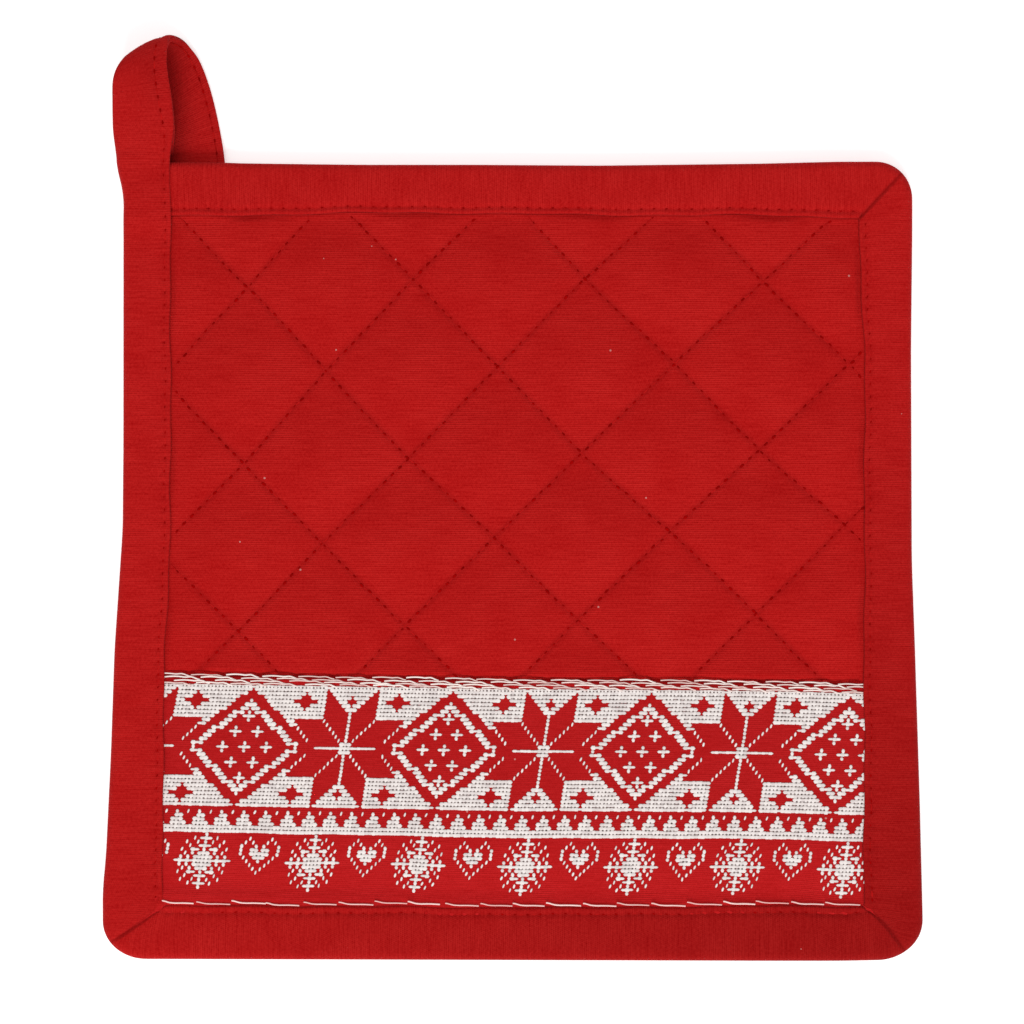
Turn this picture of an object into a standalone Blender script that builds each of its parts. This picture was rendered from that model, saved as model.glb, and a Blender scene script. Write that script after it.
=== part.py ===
"""Square quilted pot holder, lying on its back.

It is made of four sewn pieces: a quilted cotton pad, a woven band laid over the lower third of it, one strip of
binding folded round the edge, and that strip's free end, which makes the hanging loop at the upper left corner.

The frame: metres, +Z up and out of the pad's face, +Y towards the loop, and the origin in the middle of the pad's
underside. The pad is first laid out on a true square of side 2 * HALF, where each layer keeps its distance to its
neighbours. place() then carries every point of that square onto the outline that the sewn holder has.
"""

import math
from collections import namedtuple

import bmesh
import bpy
import numpy as np
from mathutils import Vector

MM = 0.001

# The pad and its layers.
HALF = 100.0 * MM  # from the middle of the true square to its side
GAP = 0.3 * MM  # between two layers that lie on each other
CLOTH = 1.0 * MM  # a turned-in strip, two layers of cotton
BINDING_WIDTH = 12.6 * MM  # what shows of the binding on each face
BINDING_TOP = 5.1 * MM  # the height of the binding's upper face
SEAM_SETBACK = 2.2 * MM  # from the outline to the pad's own hidden edge
BAND_SETBACK = 4.6 * MM  # from the outline to the band's hidden edge
STEP_INSET = 1.3 * MM  # over which the pad drops from the binding to its underside
LEDGE_INSET = BINDING_WIDTH + GAP  # where the pad comes out of the binding
FIELD_INSET = LEDGE_INSET + STEP_INSET  # where the pad lies flat on the surface
EDGE_TAPER = 3.8 * MM  # over which the pad thins towards its hidden edge
EDGE_SHARE = 0.5  # the thickness left at that edge, as a share

# The quilting: the sewn lines cross on every second point of this grid.
QUILT_COLUMNS = tuple(x * MM for x in (-90.2, -68.6, -48.1, -26.9, -4.8, 16.6, 39.5, 61.6, 82.9, 104.5))
QUILT_ROWS = tuple(y * MM for y in (-36.4, -14.8, 6.8, 26.9, 49.0, 70.6, 92.2))
STEPS_PER_SPAN = 3  # mesh cells between two points of the grid
CHANNEL_HEIGHT = 3.4 * MM  # the top of the pad in a sewn channel
CROWN_HEIGHT = 5.4 * MM  # the top of the pad in the middle of a square
CROWN_ROUNDNESS = 0.7  # under 1 gives full, steep-sided squares
EDGE_PUFF = 0.45  # what is left of the crowns beside the binding
PUFF_FADE = 9.0 * MM  # over which they grow to their full height

# The woven band.
BAND_TOP_MIDDLE = -30.1 * MM  # its upper edge, at x = 0
BAND_SLOPE = -0.019  # that edge falls a little towards +X
BAND_BED = 2.5 * MM  # the height of the pad's flat top under the band
BED_MARGIN = 0.3 * MM  # how far that flat goes on above the band's edge
BED_SLOPE = 2.7 * MM  # over which the pad rises from it into the quilting
BAND_ROWS = tuple(y * MM for y in (-45.0, -58.0, -72.0))
BAND_COLUMN_COUNT = 12

# The binding's section, from the outline inwards.
OUTER_ROUND = 2.0 * MM
INNER_ROUND = 2.3 * MM
WALL = 1.0 * MM
ROUND_INSET_SHARE = 0.3  # the middle of the outer rounding, as a share of its depth
ROUND_HEIGHT_SHARE = 0.1  # and of the section's height
WALL_MARGIN_SHARE = 0.3  # above and below the upright stretch of the wall
LIP = 0.3 * MM  # the eased upper edge of the front leg
INNER_CORNER_RADIUS = 1.0 * MM
TOP_RUN_START = 3.0 * MM  # from the left outline to the start of the top run
CORNER_ZONE = 15.0 * MM  # where the sections stand closer together
CORNER_STEPS = 5
SIDE_STEPS = 14

# The loop.
LOOP_THICKNESS = 1.6 * MM
LOOP_STEPS = 4  # mesh cells between two rows of its table
LOOP_CELLS_ACROSS = 4

Corner = namedtuple("Corner", "x_sign y_sign radius")
CORNERS = (
    Corner(x_sign=1, y_sign=1, radius=8.5 * MM),
    Corner(x_sign=1, y_sign=-1, radius=10.0 * MM),
    Corner(x_sign=-1, y_sign=-1, radius=9.5 * MM),
    Corner(x_sign=-1, y_sign=1, radius=0.0),
)

# How far each side of the sewn holder strays from the true square, in millimetres towards +X or +Y: its outline,
# and the inner edge of its binding. "along" is the place on that side.
Side = namedtuple("Side", "along outline inner_edge")
LEFT_SIDE = (
    Side(along=-100, outline=-3.5, inner_edge=-1.1),
    Side(along=-83, outline=-3.5, inner_edge=-1.1),
    Side(along=-75, outline=-2.8, inner_edge=-1.1),
    Side(along=-48, outline=-1.4, inner_edge=-1.1),
    Side(along=-22, outline=-0.5, inner_edge=-0.6),
    Side(along=8, outline=1.5, inner_edge=0.8),
    Side(along=88, outline=1.5, inner_edge=0.8),
    Side(along=100, outline=0.0, inner_edge=0.9),
)
RIGHT_SIDE = (
    Side(along=-100, outline=2.4, inner_edge=0.3),
    Side(along=-60, outline=1.5, inner_edge=0.3),
    Side(along=-22, outline=0.3, inner_edge=0.1),
    Side(along=0, outline=-0.5, inner_edge=0.1),
    Side(along=53, outline=-0.7, inner_edge=0.1),
    Side(along=83, outline=-0.6, inner_edge=-1.2),
    Side(along=100, outline=-0.6, inner_edge=-1.2),
)
TOP_SIDE = (
    Side(along=-100, outline=0.0, inner_edge=-0.7),
    Side(along=-79, outline=0.0, inner_edge=-0.7),
    Side(along=-39, outline=-0.5, inner_edge=0.2),
    Side(along=-9, outline=-0.5, inner_edge=0.1),
    Side(along=21, outline=-0.7, inner_edge=-0.4),
    Side(along=62, outline=-0.2, inner_edge=-0.4),
    Side(along=82, outline=0.3, inner_edge=-1.0),
    Side(along=100, outline=0.3, inner_edge=-1.0),
)
BOTTOM_SIDE = (
    Side(along=-100, outline=0.0, inner_edge=0.7),
    Side(along=0, outline=-0.2, inner_edge=0.7),
    Side(along=62, outline=-0.3, inner_edge=1.0),
    Side(along=82, outline=-0.3, inner_edge=1.5),
    Side(along=100, outline=0.0, inner_edge=1.5),
)
SHIFT_FADE = 30.0 * MM  # inside the binding, over which these shifts die away

# What the layers of the top run pass over and under, in millimetres: the left run's back leg in the corner, and
# the loop's tail beside it.
Press = namedtuple("Press", "along lift rise")
TOP_PRESS = (
    Press(along=-100.0, lift=1.3, rise=0.0),
    Press(along=-88.6, lift=1.3, rise=0.0),
    Press(along=-87.1, lift=1.9, rise=0.4),
    Press(along=-73.0, lift=1.9, rise=0.4),
    Press(along=-68.6, lift=0.0, rise=0.0),
    Press(along=100.0, lift=0.0, rise=0.0),
)
# The left run's front leg climbs over the top run in the corner.
LEFT_PRESS = (
    Press(along=-100.0, lift=0.0, rise=0.0),
    Press(along=82.0, lift=0.0, rise=0.0),
    Press(along=87.0, lift=0.0, rise=1.3),
    Press(along=100.0, lift=0.0, rise=1.3),
)
FLAT_PRESS = (Press(along=-100.0, lift=0.0, rise=0.0), Press(along=100.0, lift=0.0, rise=0.0))

# The loop's strip, row by row from its foot to the end of its tail, in millimetres in the holder's frame: the
# folded edge and the stitched edge of its middle surface, and how far its middle bulges towards +Y.
Row = namedtuple("Row", "fold_x fold_y fold_z stitch_x stitch_y stitch_z bulge")
LOOP_ROWS = (
    Row(-99.9, 100.6, 3.3, -86.5, 100.6, 5.6, 0.0),
    Row(-101.0, 108.3, 6.2, -87.2, 108.3, 7.3, 0.0),
    Row(-101.3, 115.5, 9.6, -87.7, 116.0, 8.4, 0.0),
    Row(-100.9, 121.0, 11.6, -88.0, 124.0, 8.0, 0.3),
    Row(-99.5, 124.2, 10.8, -87.6, 129.6, 6.6, 0.9),
    Row(-97.6, 125.6, 7.6, -86.8, 131.4, 4.6, 1.4),
    Row(-96.0, 124.6, 3.8, -85.2, 130.9, 2.6, 1.0),
    Row(-94.2, 121.6, 1.5, -82.5, 129.2, 1.3, 0.4),
    Row(-92.2, 117.2, 0.8, -79.7, 126.0, 0.8, 0.0),
    Row(-89.9, 111.2, 0.8, -77.0, 119.0, 0.8, 0.0),
    Row(-87.4, 105.2, 0.8, -74.8, 109.8, 0.8, 0.0),
    Row(-86.2, 100.4, 0.8, -73.4, 101.0, 0.8, 0.0),
    Row(-86.2, 95.0, 0.8, -73.4, 95.0, 0.8, 0.0),
    Row(-86.2, 90.0, 0.8, -73.4, 90.0, 0.8, 0.0),
)


def in_table(table, along, column):
    """The value of one column of a table of millimetres, in metres, at a place given in metres."""
    places = [row.along for row in table]
    values = [getattr(row, column) for row in table]
    return float(np.interp(along / MM, places, values)) * MM


def side_shift(side, along, inset):
    """How far a point strays from the true square because of one side."""
    outline = in_table(side, along, "outline")
    inner_edge = in_table(side, along, "inner_edge")
    if inset < BINDING_WIDTH:
        return outline + (inner_edge - outline) * inset / BINDING_WIDTH
    return inner_edge * max(0.0, 1.0 - (inset - BINDING_WIDTH) / SHIFT_FADE)


def corner_radius(x, y):
    """The radius of the rounded square that runs through a point of the true square."""
    corner = next(c for c in CORNERS if c.x_sign * x >= 0 and c.y_sign * y >= 0)
    if not corner.radius:
        return 0.0
    inset = HALF - max(abs(x), abs(y))
    share = inset / BINDING_WIDTH
    if share < 1.0:
        return corner.radius + (INNER_CORNER_RADIUS - corner.radius) * share
    return INNER_CORNER_RADIUS * max(0.0, 2.0 - share)


def rounded(x, y):
    """The point of the true square, carried onto the square with rounded corners."""
    reach = max(abs(x), abs(y))
    along = min(abs(x), abs(y))
    radius = corner_radius(x, y)
    past = along - (reach - radius)
    if radius == 0.0 or past <= 0.0:
        return x, y
    angle = math.radians(45.0) * past / radius
    near = reach - radius + radius * math.sin(angle)
    far = reach - radius + radius * math.cos(angle)
    across, up = (far, near) if abs(x) >= abs(y) else (near, far)
    return math.copysign(across, x), math.copysign(up, y)


def place(x, y):
    """The point of the true square, on the sewn holder."""
    x, y = rounded(x, y)
    shift_x = side_shift(LEFT_SIDE, y, HALF + x) + side_shift(RIGHT_SIDE, y, HALF - x)
    shift_y = side_shift(BOTTOM_SIDE, x, HALF + y) + side_shift(TOP_SIDE, x, HALF - y)
    return x + shift_x, y + shift_y


def band_top(x):
    """The y of the band's upper edge."""
    return BAND_TOP_MIDDLE + BAND_SLOPE * x


def span_position(points, coordinate):
    """Where a coordinate falls on one axis of the quilting's grid, counted in its points."""
    return float(np.interp(coordinate, points, range(len(points))))


def off_channel(count):
    """0 on a sewn line, which stands on the even numbers, and 1 half-way to the next."""
    return abs((count + 1.0) % 2.0 - 1.0)


def puff(x, y):
    """How full the quilting is at a point: 0 in a channel, 1 in the middle of a square."""
    column = span_position(QUILT_COLUMNS, x)
    row = span_position(QUILT_ROWS, y)
    falling = math.sin(math.pi / 2 * off_channel(column + row))
    rising = math.sin(math.pi / 2 * off_channel(column - row))
    return max(0.0, falling * rising) ** CROWN_ROUNDNESS


def inset_of(x, y):
    """How far a point of the true square lies inside its nearest side."""
    return HALF - max(abs(x), abs(y))


def hem_heights(x, y):
    """The (lower, upper) height of the pad's hem, between the legs of the binding."""
    in_top_run = y > HALF - LEDGE_INSET - GAP
    lift = in_table(TOP_PRESS, x, "lift") if in_top_run else 0.0
    rise = in_table(TOP_PRESS, x, "rise") if in_top_run else 0.0
    return lift + CLOTH + GAP, BINDING_TOP + rise - CLOTH - GAP


def panel_heights(x, y):
    """The pad's (lower, upper) height at a point of the true square."""
    inset = inset_of(x, y)
    in_bed = y < band_top(x) + 2 * BED_MARGIN
    if inset > LEDGE_INSET + GAP:
        if in_bed:
            return 0.0, BAND_BED
        grown = min(1.0, (inset - FIELD_INSET) / PUFF_FADE)
        fullness = puff(x, y) * (EDGE_PUFF + (1.0 - EDGE_PUFF) * grown)
        return 0.0, CHANNEL_HEIGHT + (CROWN_HEIGHT - CHANNEL_HEIGHT) * fullness
    lower, upper = hem_heights(x, y)
    if in_bed:
        upper = BAND_BED
    if inset < EDGE_TAPER:
        middle = (lower + upper) / 2
        half = (upper - lower) / 2 * EDGE_SHARE
        return middle - half, middle + half
    return lower, upper


def band_heights(x, y):
    """The band's (lower, upper) height, which is the same all over."""
    return BAND_BED + GAP, BAND_BED + GAP + CLOTH


def collection_named(name):
    """A new collection in the scene."""
    collection = bpy.data.collections.new(name)
    bpy.context.scene.collection.children.link(collection)
    return collection


def cotton(name, colour, roughness):
    """A dyed cotton: base colour in linear light, no metal."""
    material = bpy.data.materials.new(name)
    material.use_nodes = True
    shader = material.node_tree.nodes["Principled BSDF"]
    shader.inputs["Base Color"].default_value = (*colour, 1.0)
    shader.inputs["Roughness"].default_value = roughness
    shader.inputs["Metallic"].default_value = 0.0
    return material


def add_object(name, mesh_builder, collection, material):
    """Turns a bmesh into a named object in the collection."""
    bmesh.ops.recalc_face_normals(mesh_builder, faces=mesh_builder.faces)
    mesh = bpy.data.meshes.new(name)
    mesh_builder.to_mesh(mesh)
    mesh_builder.free()
    mesh.materials.append(material)
    obj = bpy.data.objects.new(name, mesh)
    collection.objects.link(obj)
    return obj


def grid_index(coordinate, segments):
    """The column or row of a vertex of a grid primitive that runs from -1 to 1."""
    return round((coordinate + 1.0) / 2.0 * segments)


def layered_grid(columns, rows, heights):
    """A closed solid between two surfaces over one grid. rows are functions of x."""
    builder = bmesh.new()
    across, along = len(columns) - 1, len(rows) - 1
    bmesh.ops.create_grid(builder, x_segments=across, y_segments=along, size=1.0)
    kept = bmesh.ops.extrude_face_region(builder, geom=builder.faces[:], use_keep_orig=True)
    upper = {item for item in kept["geom"] if isinstance(item, bmesh.types.BMVert)}
    for vertex in builder.verts:
        x = columns[grid_index(vertex.co.x, across)]
        y = rows[grid_index(vertex.co.y, along)](x)
        low, high = heights(x, y)
        vertex.co = (*place(x, y), high if vertex in upper else low)
    return builder, upper


def level(y):
    """A straight row of a grid."""
    return lambda x: y


def spans(points, steps):
    """The points, with the gaps between them cut into equal steps."""
    cut = [a + (b - a) * k / steps for a, b in zip(points, points[1:]) for k in range(steps)]
    return cut + [points[-1]]


def hem_insets():
    """How far inside the outline the pad's hem changes its thickness."""
    return (SEAM_SETBACK, EDGE_TAPER, (EDGE_TAPER + LEDGE_INSET) / 2, LEDGE_INSET, FIELD_INSET)


def panel_columns():
    """The columns of the pad's grid, from left to right."""
    hem = [HALF - inset for inset in hem_insets()]
    quilt = [x for x in spans(QUILT_COLUMNS, STEPS_PER_SPAN) if abs(x) < HALF - FIELD_INSET - MM]
    knots = [p.along * MM for p in TOP_PRESS if abs(p.along * MM) < HALF - SEAM_SETBACK]
    return sorted({round(x, 6) for x in quilt + hem + [-h for h in hem] + knots})


def panel_rows():
    """The rows of the pad's grid, from its lower edge up, each a function of x."""
    hem = [HALF - inset for inset in hem_insets()]
    lowest = band_top(-HALF) + BED_MARGIN + BED_SLOPE + MM
    quilt = [y for y in spans(QUILT_ROWS, STEPS_PER_SPAN) if lowest < y < HALF - FIELD_INSET - MM]
    below = [level(y) for y in sorted([-h for h in hem] + list(BAND_ROWS))]
    at_band = [lambda x: band_top(x) + BED_MARGIN, lambda x: band_top(x) + BED_MARGIN + BED_SLOPE]
    above = [level(y) for y in sorted(quilt + hem)]
    return below + at_band + above


def split_along_quilting(builder, upper):
    """Cuts each cell of the pad's top along the way that its sewn line runs."""
    rising, falling = [], []
    for face in builder.faces:
        if not all(vertex in upper for vertex in face.verts):
            continue
        middle = face.calc_center_median()
        column = math.floor(span_position(QUILT_COLUMNS, middle.x))
        row = math.floor(span_position(QUILT_ROWS, middle.y))
        (rising if (column + row) % 2 == 0 else falling).append(face)
    bmesh.ops.triangulate(builder, faces=rising, quad_method="ALTERNATE")
    bmesh.ops.triangulate(builder, faces=falling, quad_method="FIXED")


def add_quilted_panel(collection, material):
    """The filled pad, with its sewn channels and its thinner hem."""
    builder, upper = layered_grid(panel_columns(), panel_rows(), panel_heights)
    split_along_quilting(builder, upper)
    return add_object("quilted_panel", builder, collection, material)


def add_border_band(collection, material):
    """The woven band, tucked under the binding on three sides."""
    hidden = [HALF - inset for inset in (BAND_SETBACK, LEDGE_INSET, FIELD_INSET)]
    inner = HALF - FIELD_INSET
    middle = [-inner + 2 * inner * k / BAND_COLUMN_COUNT for k in range(1, BAND_COLUMN_COUNT)]
    columns = sorted([-h for h in hidden] + hidden + middle)
    rows = [level(y) for y in sorted([-h for h in hidden] + list(BAND_ROWS))] + [band_top]
    builder, _ = layered_grid(columns, rows, band_heights)
    return add_object("border_band", builder, collection, material)


def binding_section(lift, rise):
    """The folded strip's U, as (inset, height) points, from the back leg's edge round the outside and back."""
    low, high = lift, BINDING_TOP + rise
    round_inset = OUTER_ROUND * ROUND_INSET_SHARE
    round_height = (high - low) * ROUND_HEIGHT_SHARE
    wall_margin = (high - low) * WALL_MARGIN_SHARE
    inner_low, inner_high = low + CLOTH, high - CLOTH
    inner_margin = (inner_high - inner_low) * WALL_MARGIN_SHARE
    return (
        (BINDING_WIDTH, low),
        (OUTER_ROUND, low),
        (round_inset, low + round_height),
        (0.0, low + wall_margin),
        (0.0, high - wall_margin),
        (round_inset, high - round_height),
        (OUTER_ROUND, high),
        (BINDING_WIDTH - LIP, high),
        (BINDING_WIDTH, high - LIP),
        (BINDING_WIDTH, inner_high),
        (INNER_ROUND, inner_high),
        (WALL, inner_high - inner_margin),
        (WALL, inner_low + inner_margin),
        (INNER_ROUND, inner_low),
        (BINDING_WIDTH, inner_low),
    )


# One side of the binding: which way it runs, what it passes over, and which of its ends are mitred.
Run = namedtuple("Run", "turn press first_mitred last_mitred start end")
BINDING_RUNS = (
    Run(turn=0, press=TOP_PRESS, first_mitred=False, last_mitred=True, start=-HALF + TOP_RUN_START, end=HALF),
    Run(turn=1, press=FLAT_PRESS, first_mitred=True, last_mitred=True, start=-HALF, end=HALF),
    Run(turn=2, press=FLAT_PRESS, first_mitred=True, last_mitred=True, start=-HALF, end=HALF),
    Run(turn=3, press=LEFT_PRESS, first_mitred=True, last_mitred=False, start=-HALF, end=HALF),
)


def run_stations(run):
    """Places along one side, closer together near a rounded corner and at the steps of what lies under it."""
    near = [HALF - CORNER_ZONE * k / CORNER_STEPS for k in range(CORNER_STEPS + 1)]
    reach = HALF - CORNER_ZONE
    middle = [-reach + 2 * reach * k / SIDE_STEPS for k in range(1, SIDE_STEPS)]
    knots = [p.along * MM for p in run.press[1:-1]]
    places = {round(a, 6) for a in near + [-a for a in near] + middle + knots + [run.start]}
    return [a for a in sorted(places) if run.start <= a <= run.end]


def turned(along, reach, quarter_turns):
    """A point of the top side, turned clockwise by whole quarters."""
    x, y = along, reach
    for _ in range(quarter_turns):
        x, y = y, -x
    return x, y


def binding_rings():
    """The binding's sections from the start of the top run, clockwise to the end of the left run."""
    for run in BINDING_RUNS:
        for along in run_stations(run):
            if along == run.start and run.first_mitred:
                continue  # the run before has just made the shared mitre
            lift = in_table(run.press, along, "lift")
            rise = in_table(run.press, along, "rise")
            mitred = run.last_mitred if along > 0 else run.first_mitred
            ring = []
            for inset, height in binding_section(lift, rise):
                slant = (HALF - inset) / HALF if mitred else 1.0
                x, y = turned(along * slant, HALF - inset, run.turn)
                ring.append((*place(x, y), height))
            yield ring


def add_edge_binding(collection, material):
    """The strip round the edge: a loft of its folded section."""
    builder = bmesh.new()
    rings = [[builder.verts.new(point) for point in ring] for ring in binding_rings()]
    for first, second in zip(rings, rings[1:]):
        for k in range(len(first)):
            after = (k + 1) % len(first)
            builder.faces.new((first[k], first[after], second[after], second[k]))
    builder.faces.new(rings[0])
    builder.faces.new(reversed(rings[-1]))
    return add_object("edge_binding", builder, collection, material)


def between_rows(rows, position):
    """A Catmull-Rom reading of the loop's table, at a position counted in rows."""
    last = len(rows) - 1
    index = min(int(position), last - 1)
    t = position - index
    before, start, end, after = (np.array(rows[min(max(index + k, 0), last)]) for k in (-1, 0, 1, 2))
    return 0.5 * (
        2 * start
        + (end - before) * t
        + (2 * before - 5 * start + 4 * end - after) * t**2
        + (3 * start - before - 3 * end + after) * t**3
    )


def strip_point(row, share):
    """A point of the loop's middle surface, from 0 at its fold to 1 at its stitched edge."""
    fold = Vector((row.fold_x, row.fold_y, row.fold_z))
    stitch = Vector((row.stitch_x, row.stitch_y, row.stitch_z))
    point = fold.lerp(stitch, share)
    point.y += row.bulge * 4.0 * share * (1.0 - share)
    point.z = max(point.z, LOOP_THICKNESS / 2 / MM)
    return point


def add_hanging_loop(collection, material):
    """The strip's free end: its middle surface, given a wall."""
    builder = bmesh.new()
    along = (len(LOOP_ROWS) - 1) * LOOP_STEPS
    bmesh.ops.create_grid(builder, x_segments=LOOP_CELLS_ACROSS, y_segments=along, size=1.0)
    for vertex in builder.verts:
        row = Row(*between_rows(LOOP_ROWS, grid_index(vertex.co.y, along) / LOOP_STEPS))
        vertex.co = strip_point(row, grid_index(vertex.co.x, LOOP_CELLS_ACROSS) / LOOP_CELLS_ACROSS) * MM
    obj = add_object("hanging_loop", builder, collection, material)
    wall = obj.modifiers.new("Strip thickness", "SOLIDIFY")
    wall.thickness = LOOP_THICKNESS
    wall.offset = 0.0
    return obj


def main():
    """Clears the scene and makes the four pieces."""
    for obj in list(bpy.data.objects):
        bpy.data.objects.remove(obj)
    collection = collection_named("pot_holder")
    red = (0.42, 0.010, 0.010)
    add_quilted_panel(collection, cotton("quilted_red_cotton", red, 0.85))
    add_border_band(collection, cotton("woven_red_and_white_cotton", (0.60, 0.30, 0.28), 0.9))
    add_edge_binding(collection, cotton("binding_red_cotton", red, 0.85))
    add_hanging_loop(collection, cotton("loop_red_cotton", red, 0.85))


main()
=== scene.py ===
"""The looks of a square quilted pot holder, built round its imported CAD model.

Each sub-assembly is a class: the quilted pad, the woven band, the binding strip whose free end is the hanging
loop, and the studio that they lie in. Each finish is a frozen dataclass. The pieces are first laid out on a
true square of side 2 * half, and Outline.place() carries every point onto the sewn holder. Lengths are in
millimetres until a mesh is made, and in metres from there on. The studio's are in metres throughout.
"""

import logging
import math
from dataclasses import dataclass, field
from enum import Enum
from functools import partial

import bpy
import numpy as np
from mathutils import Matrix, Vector, kdtree
from mathutils.bvhtree import BVHTree


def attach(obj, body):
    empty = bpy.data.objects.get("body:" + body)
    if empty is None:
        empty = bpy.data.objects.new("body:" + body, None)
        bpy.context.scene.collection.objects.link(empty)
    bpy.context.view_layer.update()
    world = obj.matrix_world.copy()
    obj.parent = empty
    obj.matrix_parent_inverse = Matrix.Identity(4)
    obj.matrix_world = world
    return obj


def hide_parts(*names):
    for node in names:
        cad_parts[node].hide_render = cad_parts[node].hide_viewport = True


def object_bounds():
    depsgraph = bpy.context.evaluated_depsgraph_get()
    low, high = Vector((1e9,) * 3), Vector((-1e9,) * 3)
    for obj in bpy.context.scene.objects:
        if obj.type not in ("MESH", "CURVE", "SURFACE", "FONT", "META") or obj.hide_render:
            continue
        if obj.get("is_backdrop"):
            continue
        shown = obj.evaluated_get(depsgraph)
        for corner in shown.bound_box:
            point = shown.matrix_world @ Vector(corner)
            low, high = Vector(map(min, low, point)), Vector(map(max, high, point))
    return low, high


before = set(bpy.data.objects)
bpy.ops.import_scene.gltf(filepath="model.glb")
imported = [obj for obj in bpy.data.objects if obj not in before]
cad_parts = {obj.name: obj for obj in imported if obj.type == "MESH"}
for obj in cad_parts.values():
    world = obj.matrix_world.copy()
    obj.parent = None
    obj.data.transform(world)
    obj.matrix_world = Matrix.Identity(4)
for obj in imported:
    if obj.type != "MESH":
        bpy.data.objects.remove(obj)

log = logging.getLogger("pot_holder")

MM = 0.001
BODY = "root"
WEAVE = "weave"  # the UV map of every cloth: millimetres along its ribs and across them

MATH = "ShaderNodeMath"
MIX = "ShaderNodeMix"
NAMED = "GeometryNodeInputNamedAttribute"
NUMBER = "NodeSocketFloat"
Array = np.ndarray
UP = np.array([0.0, 0.0, 1.0])


# ---- Small tools ----


def linear(colour: str) -> tuple[float, float, float, float]:
    """Turns an sRGB hex colour into linear light.

    Args:
        colour: the colour as "#RRGGBB".

    Returns:
        The linear red, green, blue and an alpha of 1.
    """
    shares = [int(colour[k : k + 2], 16) / 255 for k in (1, 3, 5)]
    light = [s / 12.92 if s <= 0.04045 else ((s + 0.055) / 1.055) ** 2.4 for s in shares]
    return (*light, 1.0)


def feed(node: bpy.types.Node, inputs: dict | tuple) -> None:
    """Sets a node's inputs, or links them.

    Args:
        node: the node.
        inputs: for each input, in order or by its name, a value, a socket, or a node whose first output is
            meant.
    """
    for key, value in inputs.items() if isinstance(inputs, dict) else enumerate(inputs):
        if isinstance(value, bpy.types.Node):
            value = value.outputs[0]
        if isinstance(value, bpy.types.NodeSocket):
            node.id_data.links.new(value, node.inputs[key])
        else:
            node.inputs[key].default_value = value


def add_node(tree: bpy.types.NodeTree, kind: str, inputs: dict | tuple = (), **settings) -> bpy.types.Node:
    """Adds a node with its settings and links.

    Args:
        tree: the node tree.
        kind: the node's type.
        inputs: what feed() takes.
        settings: the node's own properties.

    Returns:
        The new node.
    """
    node = tree.nodes.new(kind)
    for name, value in settings.items():
        setattr(node, name, value)
    feed(node, inputs)
    return node


def smoothstep(share: Array | float) -> Array | float:
    """Eases a share from 0 to 1."""
    share = np.clip(share, 0.0, 1.0)
    return share * share * (3.0 - 2.0 * share)


def eased_table(along: Array, places: tuple, values: tuple, reach: float) -> Array:
    """Reads a table with its corners rounded off.

    Args:
        along: where to read it.
        places: the table's places.
        values: its values.
        reach: how far to each side the reading is averaged, in mm.

    Returns:
        A value for each place asked for.
    """
    offsets = np.linspace(-reach, reach, 5)
    return np.mean([np.interp(along + offset, places, values) for offset in offsets], axis=0)


def new_object(name: str, points: Array, faces: list, smooth: bool = True) -> bpy.types.Object:
    """Makes a mesh object at the origin.

    Args:
        name: the piece's name.
        points: its points in mm, one row each.
        faces: lists of point numbers.
        smooth: whether its faces are shaded smooth.

    Returns:
        The object, linked to the scene.
    """
    mesh = bpy.data.meshes.new(name)
    mesh.from_pydata((points * MM).tolist(), [], faces)
    if smooth:
        mesh.shade_smooth()
    else:
        mesh.shade_flat()
    obj = bpy.data.objects.new(name, mesh)
    bpy.context.scene.collection.objects.link(obj)
    return obj


def lattice(columns: Array | list, rows: Array | list) -> tuple[Array, Array]:
    """The x and y of every crossing of a grid, row by row."""
    x, y = np.meshgrid(columns, rows)
    return x.ravel(), y.ravel()


def path_lengths(path: Array) -> Array:
    """The length of a path up to each of its points."""
    return np.concatenate([[0.0], np.cumsum(np.linalg.norm(np.diff(path, axis=0), axis=1))])


def store(mesh: bpy.types.Mesh, name: str, values: Array) -> None:
    """Stores a number or a vector for each point of a mesh.

    Args:
        mesh: the mesh.
        name: the attribute's name.
        values: one row for each point.
    """
    values = np.asarray(values, np.float32)
    kind, field_name = ("FLOAT", "value") if values.ndim == 1 else ("FLOAT_VECTOR", "vector")
    mesh.attributes.new(name, kind, "POINT").data.foreach_set(field_name, values.ravel())


def store_weave(mesh: bpy.types.Mesh, corners: Array) -> None:
    """Stores the weave's UV map, given one row of millimetres for each face corner."""
    mesh.uv_layers.new(name=WEAVE).uv.foreach_set("vector", np.asarray(corners, np.float32).ravel())


def corner_points(mesh: bpy.types.Mesh) -> Array:
    """The number of the point at each face corner."""
    numbers = np.empty(len(mesh.loops), np.int32)
    mesh.loops.foreach_get("vertex_index", numbers)
    return numbers


def turn_outwards(points: Array, quads: Array) -> bool:
    """Tells whether a closed mesh of quads has to be turned so that its faces point outwards."""
    a, b, c, d = (points[quads[:, k]] for k in range(4))
    volume = (a * np.cross(b, c)).sum() + (a * np.cross(c, d)).sum()
    return bool(volume < 0)


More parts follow.
